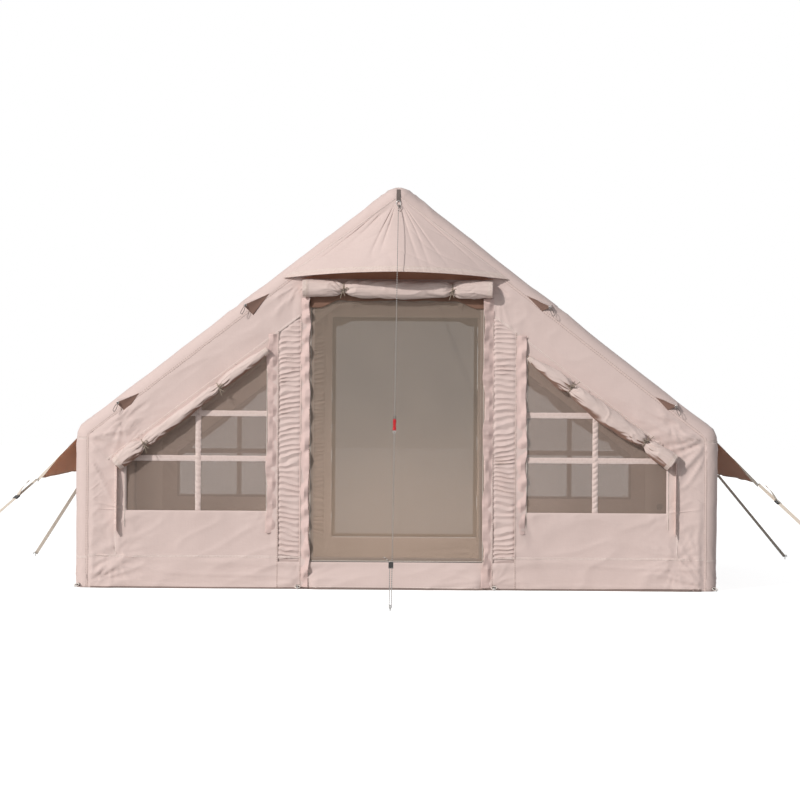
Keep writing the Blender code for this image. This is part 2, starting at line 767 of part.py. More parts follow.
def closures():
    """Everything that fills or covers the gables' openings."""
    for name, side in (("front", -1), ("rear", 1)):
        mesh_door(name, side)
        door_roll(name, side)
        for hand, mirror in (("left", -1), ("right", 1)):
            window(f"{name}_{hand}", side, mirror)
            cover_roll(f"{name}_{hand}", side, mirror)
            zip_slider(f"{name}_{hand}", side, mirror)


# Hoods and wings

def hood_point(side, across, down, depth):
    """Point of the hood, across from -1 to 1 between its sides and down from 0 at the top to 1 at the hem.

    y = gable + bulge * down**power * (1 - across**2), and the hem rises by the arch in its middle.
    """
    top = RIDGE_HEIGHT - HOOD_TOP_DROP
    half_hem = (roof_height(0, HOOD_EDGE_INSET) - HEM_HEIGHT) / math.tan(ROOF_ANGLE)
    half = HOOD_TOP_HALF_WIDTH + (half_hem - HOOD_TOP_HALF_WIDTH) * down
    crown = 1 - across**2
    bulge = HOOD_BULGE * down**HOOD_BULGE_POWER * crown
    z = top + (HEM_HEIGHT - top) * down + HOOD_ARCH * down * crown
    y = GABLE_Y + SEAM_GAP + CLOTH - depth + bulge
    return (across * half, side * y, z)


def hood(name, side):
    """Cone-like canopy over the door, sewn along the rafters from the apex down."""
    grids = []
    places_across = [2 * i / HOOD_COLUMNS - 1 for i in range(HOOD_COLUMNS + 1)]
    for depth in (0, CLOTH):
        grids.append([
            [hood_point(side, across, j / HOOD_ROWS, depth) for across in places_across]
            for j in range(HOOD_ROWS + 1)
        ])
    sheet(f"{name}_hood", grids[0], grids[1], "sand cloth")


def wing_tip():
    """(x, y, z) of a wing's rear right tip."""
    return (BODY_WIDTH / 2 + WING_REACH, GABLE_Y - EDGE_RADIUS - WING_SETBACK, EAVE_SEAM_HEIGHT - WING_DROP)


def wing_point(mirror, along, out, depth):
    """Point of a wing, along from -1 at its front edge to 1 at its rear edge and out from 0 at the eave."""
    tip_x, tip_y, tip_z = wing_tip()
    root_x = BODY_WIDTH / 2 + SEAM_GAP
    root_y = GABLE_Y - EDGE_RADIUS
    sweep = WING_SWEEP * (1 - along**2)
    reach = (tip_x - root_x - sweep) * out
    fall = (EAVE_SEAM_HEIGHT - tip_z) * reach / (tip_x - root_x)
    y = along * (root_y + (tip_y - root_y) * out)
    return (mirror * (root_x + reach), y, EAVE_SEAM_HEIGHT - fall - depth)


def wing(name, mirror):
    """Awning wing sewn to the eave seam, its outer edge swept in between the tips."""
    grids = []
    for depth in (0, CLOTH):
        grids.append([
            [wing_point(mirror, 2 * i / WING_STATIONS - 1, out, depth) for i in range(WING_STATIONS + 1)]
            for out in (0, 1 / 2, 1)
        ])
    sheet(f"{name}_eave_wing", grids[0], grids[1], "shaded lining cloth")


# Straps, pegs and guyline

def peg(name, x, y, away):
    """Head of a driven peg: its shank rises from the ground and bends over away from the tent."""
    away = Vector((away[0], away[1], 0)).normalized()
    foot = Vector((x, y, 0))
    up = Vector((0, 0, 1))
    centre = foot + up * (PEG_HEAD_HEIGHT - PEG_BEND_RADIUS - PEG_RADIUS) + away * PEG_BEND_RADIUS
    points = [foot]
    for i in range(SMALL_SIDES // 2 + 1):
        angle = math.pi * (1 - i / (SMALL_SIDES // 2))
        arm = away * math.cos(angle) + up * math.sin(angle)
        points.append(centre + arm * PEG_BEND_RADIUS)
    points.append(points[-1] - up * PEG_HOOK_DROP)
    wire(name, points, PEG_RADIUS, "steel")


def strap_line(signs, foot):
    """Start and end of a strap's centre line, from the wing's tip to the peg's shank."""
    tip_x, tip_y, tip_z = wing_tip()
    tip = Vector((signs[0] * tip_x, signs[1] * tip_y, tip_z - CLOTH / 2))
    shank = Vector((foot[0], foot[1], STRAP_FOOT_HEIGHT))
    direction = (shank - tip).normalized()
    level = math.hypot(direction.x, direction.y)
    start = tip + direction * (CLOTH + SEAM_GAP)
    end = shank - direction * (PEG_RADIUS + SEAM_GAP + STRAP_THICKNESS) / level
    return start, end


def strap_box(name, frame, width, thickness, length, paint):
    """Straight piece of rectangular section along the frame's Z axis."""
    bm = bmesh.new()
    size = Matrix.Diagonal((width, thickness, length, 1))
    lift = Matrix.Translation((0, 0, length / 2))
    bmesh.ops.create_cube(bm, size=1, matrix=frame @ lift @ size)
    return add_object(name, bm, paint, frame)


def strap(name, signs, foot):
    """Webbing strap from a wing tip to its peg, and at the front its buckle."""
    start, end = strap_line(signs, foot)
    direction = end - start
    level = direction.cross(Vector((0, 0, 1))).normalized()
    frame = frame_along(start, direction, level)
    strap_box(f"{name}_strap", frame, STRAP_WIDTH, STRAP_THICKNESS, direction.length, "sand webbing")
    peg(f"{name}_peg", *foot, foot)
    if signs[1] < 0:
        at = frame @ Matrix.Translation((0, 0, BUCKLE_DISTANCE))
        width = STRAP_WIDTH + 2 * BUCKLE_SLOT_CLEARANCE
        slot = STRAP_THICKNESS + 2 * BUCKLE_SLOT_CLEARANCE
        body_width = width + 2 * BUCKLE_MARGIN
        body = strap_box(f"{name}_buckle", at, body_width, BUCKLE_THICKNESS, BUCKLE_LENGTH, "black plastic")
        below = at @ Matrix.Translation((0, 0, -CUT_OVERRUN))
        length = BUCKLE_LENGTH + 2 * CUT_OVERRUN
        tool = strap_box(f"cut_{name}_slot", below, width, slot, length, "black plastic")
        combine(body, as_cutter(tool), "DIFFERENCE")


def hood_face(height):
    """How far the faceted hood's face stands off the gable at a height on its middle line."""
    top = RIDGE_HEIGHT - HOOD_TOP_DROP
    rows_down = HOOD_ROWS * max(0, top - height) / (top - HEM_HEIGHT - HOOD_ARCH)
    row = math.floor(rows_down)
    above, below = ((j / HOOD_ROWS) ** HOOD_BULGE_POWER for j in (row, row + 1))
    return SEAM_GAP + CLOTH + HOOD_BULGE * (above + (below - above) * (rows_down - row))


def anchor_row(turn_angle, thickness):
    """Three points across the tab that goes over the rounded front edge at the apex.

    turn_angle runs from 0 on the gable to 90 degrees on the ridge. The tab lies on the roof cloth at the
    ridge and on the hood at the gable.
    """
    tail_height = apex_arc(0, CORNER_RADIUS, SKIN_ROUNDING)[1] - ANCHOR_TAIL
    lift = SEAM_GAP + hood_face(tail_height) * math.cos(turn_angle) + thickness
    radius = EDGE_RADIUS + lift
    y = -GABLE_Y + EDGE_RADIUS - radius * math.cos(turn_angle)
    arc = CORNER_RADIUS + radius * math.sin(turn_angle)
    spread = math.asin(ANCHOR_WIDTH / 2 / arc)
    places = [apex_arc(across, arc, SKIN_ROUNDING) for across in (-spread, 0, spread)]
    return [(x, y, z) for x, z in places]


def anchor():
    """Webbing tab sewn over the front apex, with the ring that the guyline starts from."""
    grids = []
    for thickness in (STRAP_THICKNESS, 0):
        rows = [anchor_row(math.pi / 2 * (1 - i / EDGE_STEPS), thickness) for i in range(EDGE_STEPS + 1)]
        tail_y = ring_centre().y + STRAP_THICKNESS / 2 - thickness
        rows.append([(x, tail_y, z - ANCHOR_TAIL) for x, _, z in rows[-1]])
        grids.append(rows)
    tab = sheet("guyline_anchor", grids[0], grids[1], "sand webbing")
    bm = bmesh.new()
    at = frame_along(ring_centre(), (0, 1, 0))
    section = [
        (RING_RADIUS + RING_WIRE * math.cos(a), RING_WIRE * math.sin(a))
        for a in (2 * math.pi * i / (SMALL_SIDES // 2) for i in range(SMALL_SIDES // 2))
    ]
    turn(bm, section, at, ROUND_SIDES, True)
    combine(tab, as_cutter(add_object("cut_anchor_ring", bm, "steel")), "UNION")


def ring_centre():
    """Middle of the ring, which hangs through the end of the tab, clear of the hood."""
    tail = anchor_row(0, STRAP_THICKNESS / 2)[1]
    height = tail[2] - ANCHOR_TAIL - RING_RADIUS + RING_WIRE
    low = height - RING_RADIUS - RING_WIRE
    return Vector((0, -GABLE_Y - hood_face(low) - SEAM_GAP - RING_WIRE, height))


def guy_line():
    """Start below the ring, foot beside the peg's shank, and the offset between the two strands."""
    reach = PEG_RADIUS + SEAM_GAP + CORD_RADIUS
    foot = Vector((reach, -GABLE_Y - GUY_REACH, GUY_FOOT_HEIGHT))
    ring = ring_centre()
    toward = (foot - ring).normalized()
    start = ring + toward * (RING_RADIUS + RING_WIRE + CORD_RADIUS + SEAM_GAP)
    return start, foot, 2 * reach


def guyline():
    """Cord from the ring to the peg and back up to the tensioner, with the runner and tensioner on it."""
    start, foot, spread = guy_line()
    down = (foot - start).normalized()
    across = Vector((1, 0, 0))
    level = math.hypot(down.x, down.y)
    centre = foot - across * spread / 2
    bend = [
        centre + across * spread / 2 * math.cos(a) + down * spread / 2 / level * math.sin(a)
        for a in (math.pi * i / (SMALL_SIDES // 2) for i in range(SMALL_SIDES // 2 + 1))
    ]
    grip = foot - across * spread - down * (TENSIONER_DISTANCE + TENSIONER_LENGTH + CORD_RADIUS)
    lean = (Vector((-1, 0, 0)) - down).normalized()
    tail = [grip, grip + lean * CORD_TAIL]
    wire("front_guyline", [start] + bend + tail, CORD_RADIUS, "reflective cord")
    peg("front_guyline_peg", 0, -GABLE_Y - GUY_REACH, (0, -1))
    runner_at = frame_along(foot - down * RUNNER_DISTANCE, -down, across)
    half = RUNNER_LENGTH / 2
    shoulder = RUNNER_LENGTH / 8
    waist = RUNNER_RADIUS * (1 - TIE_SQUEEZE_SHARE)
    runner = [
        (RUNNER_BORE, -half),
        (waist, -half),
        (RUNNER_RADIUS, shoulder - half),
        (waist, 0),
        (RUNNER_RADIUS, half - shoulder),
        (waist, half),
        (RUNNER_BORE, half),
    ]
    turned("guyline_runner", runner, runner_at, SMALL_SIDES, "red aluminium", closed=True)
    middle = foot - across * spread / 2 - down * TENSIONER_DISTANCE
    low = frame_along(middle, -down, across)
    size = (TENSIONER_WIDTH, TENSIONER_THICKNESS, TENSIONER_LENGTH)
    block = strap_box("guyline_tensioner", low, *size, "black plastic")
    bm = bmesh.new()
    for sign in (-1, 1):
        at = low @ Matrix.Translation((sign * spread / 2, 0, -CUT_OVERRUN))
        length = TENSIONER_LENGTH + 2 * CUT_OVERRUN
        turn(bm, [(0, 0), (RUNNER_BORE, 0), (RUNNER_BORE, length), (0, length)], at, SMALL_SIDES, False)
    combine(block, as_cutter(add_object("cut_tensioner_bores", bm, "black plastic")), "DIFFERENCE")


def tethers():
    """Wing straps with their pegs, and the front guyline."""
    places = (
        ("front_left", (-1, -1), FRONT_PEG_ASIDE, FRONT_PEG_AHEAD),
        ("front_right", (1, -1), FRONT_PEG_ASIDE, FRONT_PEG_AHEAD),
        ("rear_left", (-1, 1), REAR_LEFT_PEG_ASIDE, REAR_LEFT_PEG_BEHIND),
        ("rear_right", (1, 1), REAR_RIGHT_PEG_ASIDE, REAR_RIGHT_PEG_BEHIND),
    )
    for name, signs, aside, past in places:
        foot = (signs[0] * (BODY_WIDTH / 2 + aside), signs[1] * (GABLE_Y + past))
        strap(name, signs, foot)
    anchor()
    guyline()


def build():
    """Empties the scene and makes the whole tent."""
    for existing in list(bpy.data.objects):
        bpy.data.objects.remove(existing, do_unlink=True)
    air_frame()
    skin()
    closures()
    for name, side in (("front", -1), ("rear", 1)):
        hood(name, side)
    for name, mirror in (("left", -1), ("right", 1)):
        wing(name, mirror)
    tethers()


build()
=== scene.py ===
import math

import bmesh
import bpy
import numpy as np
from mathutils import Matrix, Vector


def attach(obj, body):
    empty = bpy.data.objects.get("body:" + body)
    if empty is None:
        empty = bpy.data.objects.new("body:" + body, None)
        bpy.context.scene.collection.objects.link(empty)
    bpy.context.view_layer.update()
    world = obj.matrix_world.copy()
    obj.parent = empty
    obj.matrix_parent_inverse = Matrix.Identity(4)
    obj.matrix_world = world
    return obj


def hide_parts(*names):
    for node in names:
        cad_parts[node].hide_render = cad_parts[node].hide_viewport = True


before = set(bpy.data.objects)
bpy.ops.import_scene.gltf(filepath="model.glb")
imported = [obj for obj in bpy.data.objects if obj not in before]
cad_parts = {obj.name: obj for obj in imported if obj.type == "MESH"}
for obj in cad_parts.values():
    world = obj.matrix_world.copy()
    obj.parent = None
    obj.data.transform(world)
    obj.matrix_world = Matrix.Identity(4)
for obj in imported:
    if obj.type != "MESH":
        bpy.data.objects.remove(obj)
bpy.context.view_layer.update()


# Camera and light
# The tent stands on a pale studio floor and is seen square from the front, a little from its right. A low
# sun stands on the left in front with a large soft fill beside it, and an even pale surround lights the
# shadows. A weak warm lamp inside stands for the daylight that the cloth lets through.

def painted(red, green, blue):
    """Linear colour of one that is given as it looks, from 0 to 255 a channel, by the sRGB curve."""
    share = np.array((red, green, blue)) / 255
    linear = np.where(share <= 0.04045, share / 12.92, ((share + 0.055) / 1.055) ** 2.4)
    return (*(float(x) for x in linear), 1.0)


def new_material(name):
    """Empty material with an output, its tree and the surface socket of the output."""
    made = bpy.data.materials.new(name)
    made.use_nodes = True
    made.node_tree.nodes.clear()
    output = made.node_tree.nodes.new("ShaderNodeOutputMaterial")
    return made, made.node_tree, output.inputs["Surface"]


def flow(tree, kind, **settings):
    """New shader node; settings fill its properties and, where no property has the name, its inputs."""
    node = tree.nodes.new(kind)
    for name, value in settings.items():
        if hasattr(node, name):
            setattr(node, name, value)
        else:
            node.inputs[name.replace("_", " ")].default_value = value
    return node


def feed(tree, socket, value):
    """Joins a socket to another one, or sets it to a plain value."""
    if isinstance(value, bpy.types.NodeSocket):
        tree.links.new(value, socket)
    else:
        socket.default_value = value


def math_node(tree, operation, *values):
    """Output socket of a math node; each value is a number or a socket."""
    node = flow(tree, "ShaderNodeMath", operation=operation)
    for socket, value in zip(node.inputs, values):
        feed(tree, socket, value)
    return node.outputs[0]


def lit_and_seen(tree, lighting, seen, surface):
    """Joins two shaders to the surface, one for light that bounces and one for what the eye sees.

    Their mix is the largest of Is Camera Ray, Is Glossy Ray and Is Transmission Ray, so mirrors and glass
    show what the eye would see.
    """
    rays = flow(tree, "ShaderNodeLightPath").outputs
    mirrored = math_node(tree, "MAXIMUM", rays["Is Glossy Ray"], rays["Is Transmission Ray"])
    mix = flow(tree, "ShaderNodeMixShader")
    feed(tree, mix.inputs["Fac"], math_node(tree, "MAXIMUM", rays["Is Camera Ray"], mirrored))
    feed(tree, mix.inputs[1], lighting.outputs[0])
    feed(tree, mix.inputs[2], seen.outputs[0])
    feed(tree, surface, mix.outputs[0])


def add_light(name, kind, energy, colour, turn, place=(0, 0, 0), **settings):
    """Lamp at a place, turned by (tilt, heading) in degrees; settings fill its other values."""
    data = bpy.data.lights.new(name, kind)
    data.energy = energy
    data.color = colour
    for label, value in settings.items():
        setattr(data, label, value)
    lamp = bpy.data.objects.new(name, data)
    lamp.location = place
    lamp.rotation_euler = (math.radians(turn[0]), 0, math.radians(turn[1]))
    bpy.context.scene.collection.objects.link(lamp)
    return lamp


camera_data = bpy.data.cameras.new("view")
camera_data.lens = 106.7
camera_data.sensor_width = 36.0
camera_data.shift_x = -0.0525
camera_data.shift_y = 0.0185
camera_data.clip_end = 200.0
camera = bpy.data.objects.new("view", camera_data)
camera.location = (0.28, -16.25, 1.09)
camera.rotation_euler = (math.pi / 2, math.radians(-0.4), 0)
bpy.context.scene.collection.objects.link(camera)
bpy.context.scene.camera = camera
bpy.context.scene.view_settings.view_transform = "Standard"

world = bpy.data.worlds.new("studio")
world.use_nodes = True
tree = world.node_tree
tree.nodes.clear()
lit_and_seen(
    tree,
    flow(tree, "ShaderNodeBackground", Color=(0.93, 0.96, 1.0, 1.0), Strength=0.34),
    flow(tree, "ShaderNodeBackground", Color=(1.0, 1.0, 1.0, 1.0), Strength=1.0),
    flow(tree, "ShaderNodeOutputWorld").inputs["Surface"],
)
bpy.context.scene.world = world

add_light("key", "SUN", 2.3, (1.0, 0.975, 0.95), (62, -40.7), angle=math.radians(2.5))
add_light("fill", "AREA", 75, (1.0, 0.97, 0.94), (68, -34), (-5.0, -8.0, 4.0), size=3.0)
glow = add_light("daylight_inside", "AREA", 16, (1.0, 0.92, 0.86), (90, 0), (0.0, 0.40, 0.60), size=0.7)
glow.visible_camera = False

FLOOR_HALF = 60
FLOOR_LEVEL = -0.0008
floor_mesh = bpy.data.meshes.new("studio_floor")
corners = [(x * FLOOR_HALF, y * FLOOR_HALF, FLOOR_LEVEL) for x, y in ((-1, -1), (1, -1), (1, 1), (-1, 1))]
floor_mesh.from_pydata(corners, [], [(0, 1, 2, 3)])
floor = bpy.data.objects.new("studio_floor", floor_mesh)
bpy.context.scene.collection.objects.link(floor)
floor_paint, tree, surface = new_material("studio floor")
floor_matt = flow(tree, "ShaderNodeBsdfDiffuse", Color=(0.52, 0.515, 0.51, 1.0))
floor_lift = flow(tree, "ShaderNodeEmission", Color=(0.86, 0.86, 0.86, 1.0))
floor_sum = flow(tree, "ShaderNodeAddShader")
feed(tree, floor_sum.inputs[0], floor_matt.outputs[0])
feed(tree, floor_sum.inputs[1], floor_lift.outputs[0])
lit_and_seen(tree, floor_matt, floor_sum, surface)
floor_mesh.materials.append(floor_paint)


# Front guyline
# A dark braided cord with reflective flecks runs from the ring at the apex to the peg, round it and back up
# to the tensioner, where its short tail ends in a knot.

RIGHT = np.array((1.0, 0.0, 0.0))
GUYLINE_RADIUS = 0.002
STRAND_SPREAD = 0.0126
TENSIONER_UP = 0.25 + 0.036 + 0.002
TAIL_LENGTH = 0.05
guyline_start = np.array((0.00004, -1.52504, 2.38894))
guyline_foot = np.array((0.0063, -3.1, 0.021))
slope = guyline_foot - guyline_start
slope /= np.linalg.norm(slope)
half_turn = np.linspace(0, math.pi, 7)[:, None]
peg_bend = (
    guyline_foot
    - RIGHT * STRAND_SPREAD / 2
    + RIGHT * STRAND_SPREAD / 2 * np.cos(half_turn)
    + slope * STRAND_SPREAD / 2 / math.hypot(slope[0], slope[1]) * np.sin(half_turn)
)
grip = guyline_foot - RIGHT * STRAND_SPREAD - slope * TENSIONER_UP
tail_lean = -RIGHT - slope
tail_lean /= np.linalg.norm(tail_lean)
straight = guyline_start + (guyline_foot - guyline_start) * np.linspace(0, 1, 9)[:-1, None]
guyline_route = np.concatenate([straight, peg_bend, [grip], [grip + tail_lean * TAIL_LENGTH]])


def rope(name, route, radius, paint):
    """Round cord of one open spline along the route's points."""
    curve = bpy.data.curves.new(name, "CURVE")
    curve.dimensions = "3D"
    curve.bevel_depth = radius
    curve.bevel_resolution = 3
    curve.use_fill_caps = True
    spline = curve.splines.new("POLY")
    spline.points.add(len(route) - 1)
    spline.points.foreach_set("co", np.column_stack([route, np.ones(len(route))]).ravel())
    curve.materials.append(paint)
    made = bpy.data.objects.new(name, curve)
    bpy.context.scene.collection.objects.link(made)
    return made


def coordinates(tree, kind):
    """Socket of one kind of texture coordinates."""
    return flow(tree, "ShaderNodeTexCoord").outputs[kind]


def principled(tree, surface, colour, normal=None, **values):
    """Joins a Principled shader with a colour socket and a normal socket to the surface."""
    shader = flow(tree, "ShaderNodeBsdfPrincipled", **values)
    feed(tree, shader.inputs["Base Color"], colour)
    if normal is not None:
        feed(tree, shader.inputs["Normal"], normal)
    feed(tree, surface, shader.outputs[0])


guyline_paint, tree, surface = new_material("reflective cord")
fleck_lines = flow(tree, "ShaderNodeTexWave", bands_direction="Z", Scale=28.0, Distortion=1.5, Detail=1.0)
fleck_steps = flow(tree, "ShaderNodeValToRGB")
fleck_steps.color_ramp.elements[0].position = 0.55
fleck_steps.color_ramp.elements[0].color = painted(82, 74, 70)
fleck_steps.color_ramp.elements[1].position = 0.72
fleck_steps.color_ramp.elements[1].color = painted(205, 200, 196)
feed(tree, fleck_lines.inputs["Vector"], coordinates(tree, "Object"))
feed(tree, fleck_steps.inputs["Fac"], fleck_lines.outputs["Fac"])
principled(tree, surface, fleck_steps.outputs["Color"], Roughness=0.55)

guyline = rope("guyline_cord", guyline_route, GUYLINE_RADIUS, guyline_paint)
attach(guyline, "tent")
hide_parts("front_guyline")


# Pegs
# Galvanised steel rods are driven into the ground beside the tent. Each stands up a little and bends over,
# away from the pull.

def grid(rows, columns, closed=False):
    """Quads of a grid and each corner's (row, column); closed joins the last column to the first."""
    steps_across = columns if closed else columns - 1
    row, column = np.meshgrid(np.arange(rows - 1), np.arange(steps_across), indexing="ij")
    corners = ((0, 0), (0, 1), (1, 1), (1, 0))
    places = np.stack([np.stack([row + i, column + j], -1) for i, j in corners], axis=2).reshape(-1, 4, 2)
    return places[..., 0] * columns + places[..., 1] % columns, places


def end_caps(rows, columns):
    """The first and the last ring of a closed grid, as polygons."""
    return [range(columns), range((rows - 1) * columns, rows * columns)]


def make_piece(
    name, points, faces, corner_uv, paints, body="tent", slot=None, nodes=(), facing=None, caps=()
):
    """Smooth mesh piece from whole arrays, riding on a body.

    faces are quads, corner_uv the (across, along) in metres of each of their corners, and caps closing
    polygons. facing is a direction that the outside of an open sheet looks along; a closed shell is turned
    outwards instead.
    """
    mesh = bpy.data.meshes.new(name)
    polygons = faces.tolist() + [list(cap) for cap in caps]
    mesh.from_pydata(points.reshape(-1, 3).tolist(), [], polygons)
    capped = np.zeros((sum(len(cap) for cap in caps), 2))
    layer = mesh.uv_layers.new(name="UVMap")
    all_uv = np.concatenate([corner_uv.reshape(-1, 2), capped])
    layer.data.foreach_set("uv", all_uv.astype(np.float32).ravel())
    mesh.polygons.foreach_set("use_smooth", np.ones(len(mesh.polygons), dtype=bool))
    for paint in paints:
        mesh.materials.append(paint)
    if facing is not None:
        normals = np.empty(len(mesh.polygons) * 3)
        areas = np.empty(len(mesh.polygons))
        mesh.polygons.foreach_get("normal", normals)
        mesh.polygons.foreach_get("area", areas)
        if (normals.reshape(-1, 3) @ np.array(facing, dtype=float)) @ areas < 0:
            mesh.flip_normals()
    else:
        shell = bmesh.new()
        shell.from_mesh(mesh)
        bmesh.ops.recalc_face_normals(shell, faces=shell.faces)
        shell.to_mesh(mesh)
        shell.free()
    made = bpy.data.objects.new(name, mesh)
    bpy.context.scene.collection.objects.link(made)
    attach(made, body)
    if nodes:
        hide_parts(*nodes)
    return made


def unit(vectors):
    """Vectors scaled to a length of 1."""
    return vectors / np.linalg.norm(vectors, axis=-1, keepdims=True)


def distances(line):
    """Distance along a line of points from its first point to each."""
    steps = np.linalg.norm(np.diff(line, axis=0), axis=1)
    return np.concatenate([[0.0], np.cumsum(steps)])


def group(name, inputs, outputs):
    """New shader node group with named inputs (kind, default) and outputs (kind), and its two end nodes."""
    made = bpy.data.node_groups.new(name, "ShaderNodeTree")
    for label, (kind, default) in inputs.items():
        socket = made.interface.new_socket(name=label, in_out="INPUT", socket_type=kind)
        if default is not None:
            socket.default_value = default
    for label, kind in outputs.items():
        made.interface.new_socket(name=label, in_out="OUTPUT", socket_type=kind)
    return made, made.nodes.new("NodeGroupInput"), made.nodes.new("NodeGroupOutput")


def colour_between(tree, factor, first, second):
    """Socket of the mix of two colours by a factor."""
    mix = flow(tree, "ShaderNodeMix", data_type="RGBA")
    for socket, value in zip((mix.inputs[0], mix.inputs[6], mix.inputs[7]), (factor, first, second)):
        feed(tree, socket, value)
    return mix.outputs[2]


def bumped(tree, height, distance, strength=1.0, under=None):
    """Normal socket of a bump; under is the normal that it stands on."""
    bump = flow(tree, "ShaderNodeBump", Strength=strength, Distance=distance)
    feed(tree, bump.inputs["Height"], height)
    if under is not None:
        feed(tree, bump.inputs["Normal"], under)
    return bump.outputs["Normal"]


def noise(tree, place, scale, detail, **values):
    """Socket of a noise over a place."""
    node = flow(tree, "ShaderNodeTexNoise", Scale=scale, Detail=detail, **values)
    feed(tree, node.inputs["Vector"], place)
    return node.outputs["Fac"]


def ring_around(first, second, turn):
    """Directions at each angle between two that stand square to each other: first * cos + second * sin."""
    return first * np.cos(turn)[..., None] + second * np.sin(turn)[..., None]


def tube(line, radius, columns=8):
    """A thin cord's points, faces and UVs: a line of points plus radius * a ring of directions."""
    line = np.asarray(line, dtype=float)
    ahead = unit(np.gradient(line, axis=0))
    helper = np.where(np.abs(ahead[:, 1:2]) > 0.9, np.array([[1.0, 0, 0]]), np.array([[0, 1.0, 0]]))
    side = unit(np.cross(ahead, helper))
    up = np.cross(side, ahead)
    turn = np.linspace(0, 2 * math.pi, columns, endpoint=False)
    points = line[:, None, :] + radius * ring_around(side[:, None, :], up[:, None, :], turn)
    faces, places = grid(len(line), columns, closed=True)
    uv = np.stack([places[..., 1] * 0.002, distances(line)[places[..., 0]]], axis=-1)
    return points, faces, uv


steel_paint, tree, surface = new_material("galvanised steel")
place = coordinates(tree, "Object")
grain, scratches = noise(tree, place, 260.0, 3.0), noise(tree, place, 40.0, 4.0)
tone = math_node(tree, "MULTIPLY_ADD", scratches, 0.6, math_node(tree, "MULTIPLY", grain, 0.4))
steel_colour = colour_between(tree, tone, painted(150, 150, 150), painted(206, 206, 204))
principled(tree, surface, steel_colour, bumped(tree, grain, 0.0002, 0.4), Metallic=1.0, Roughness=0.38)

UP = np.array((0.0, 0.0, 1.0))
PEG_PLACES = {
    "front_left_peg": (-2.93, -1.88),
    "front_right_peg": (2.93, -1.88),
    "rear_left_peg": (-2.78, 1.64),
    "rear_right_peg": (2.92, 1.95),
    "front_guyline_peg": (0.0, -3.1),
}
ROD_RADIUS = 0.0039
ROD_COLUMNS = 16
ROD_HEIGHT = 0.023
HOOK_RADIUS = 0.009
HOOK_DROP = 0.007
rods = {}
for name, place in PEG_PLACES.items():
    foot = np.array((*place, 0.0))
    away = unit(foot)
    centre = foot + UP * ROD_HEIGHT + away * HOOK_RADIUS
    turn = np.linspace(math.pi, 0, 22)[:, None]
    arc = centre + HOOK_RADIUS * (away * np.cos(turn) + UP * np.sin(turn))
    stem = foot + UP * np.linspace(0, ROD_HEIGHT, 6)[:-1, None]
    hook = arc[-1] - UP * np.linspace(0, HOOK_DROP, 4)[1:, None]
    line = np.concatenate([stem, arc, hook])
    caps = end_caps(len(line), ROD_COLUMNS)
    rod = tube(line, ROD_RADIUS, ROD_COLUMNS)
    rods[name] = make_piece(name + "_rod", *rod, [steel_paint], slot="steel", nodes=[name], caps=caps)


# Wing straps
# Four straps of sand-coloured polyester webbing run from the eyelets at the wing tips to the pegs. The front
# pair passes through slide buckles, which leave a loose tail.

def sweep(centres, side, up, section, closed=True):
    """Points, faces, corner UVs and caps of a section carried along a line: centre + side * s0 + up * s1."""
    centres, section = np.asarray(centres, dtype=float), np.asarray(section, dtype=float)
    side, up = (np.broadcast_to(v, centres.shape)[:, None, :] for v in (side, up))
    if section.ndim == 2:
        section = np.broadcast_to(section, (len(centres), *section.shape))
    points = centres[:, None, :] + side * section[..., :1] + up * section[..., 1:]
    rows, columns = points.shape[:2]
    faces, places = grid(rows, columns, closed)
    round_it = np.concatenate([section[0], section[0][:1]]) if closed else section[0]
    corner_uv = np.stack([distances(round_it)[places[..., 1]], distances(centres)[places[..., 0]]], axis=-1)
    return points, faces, corner_uv, end_caps(rows, columns) if closed else []


def webbing_section(width, thickness):
    """Flat oval outline of a woven band: the powers of cosine and sine square its corners."""
    turn = np.linspace(0, 2 * math.pi, 20, endpoint=False)
    level, stand = np.cos(turn), np.sin(turn)
    return np.column_stack(
        [
            width / 2 * np.sign(level) * np.abs(level) ** 0.35,
            thickness / 2 * np.sign(stand) * np.abs(stand) ** 0.5,
        ]
    )


# Height of a plain weave: sin across * sin along, one wave to each pitch, roughened by uneven threads. The
# factor 0.159 is one over two pi. The shade follows the uneven threads alone.
weave, weave_in, weave_out = group(
    "plain weave", {"Place": ("NodeSocketVector", None), "Pitch": ("NodeSocketFloat", 0.0008)},
    {"Height": "NodeSocketFloat", "Shade": "NodeSocketFloat"}
)
weave_axes = flow(weave, "ShaderNodeSeparateXYZ")
feed(weave, weave_axes.inputs[0], weave_in.outputs["Place"])
wave_length = math_node(weave, "MULTIPLY", weave_in.outputs["Pitch"], 0.159)
waves = []
for axis in weave_axes.outputs[:2]:
    waves.append(math_node(weave, "SINE", math_node(weave, "DIVIDE", axis, wave_length)))
slubs = []
for stretch in ((420, 9, 1), (9, 420, 1)):
    stretched = flow(weave, "ShaderNodeMapping", Scale=stretch)
    feed(weave, stretched.inputs["Vector"], weave_in.outputs["Place"])
    slubs.append(noise(weave, stretched.outputs[0], 1.0, 1.0))
slub = math_node(weave, "MULTIPLY", math_node(weave, "ADD", *slubs), 0.5)
feed(weave, weave_out.inputs["Height"], math_node(weave, "ADD", slub, math_node(weave, "MULTIPLY", *waves)))
feed(weave, weave_out.inputs["Shade"], slub)


def placed_group(tree, which, place, **values):
    """A group's node with its Place fed and its other inputs set."""
    node = flow(tree, "ShaderNodeGroup", node_tree=which)
    for name, value in {"Place": place, **values}.items():
        feed(tree, node.inputs[name], value)
    return node


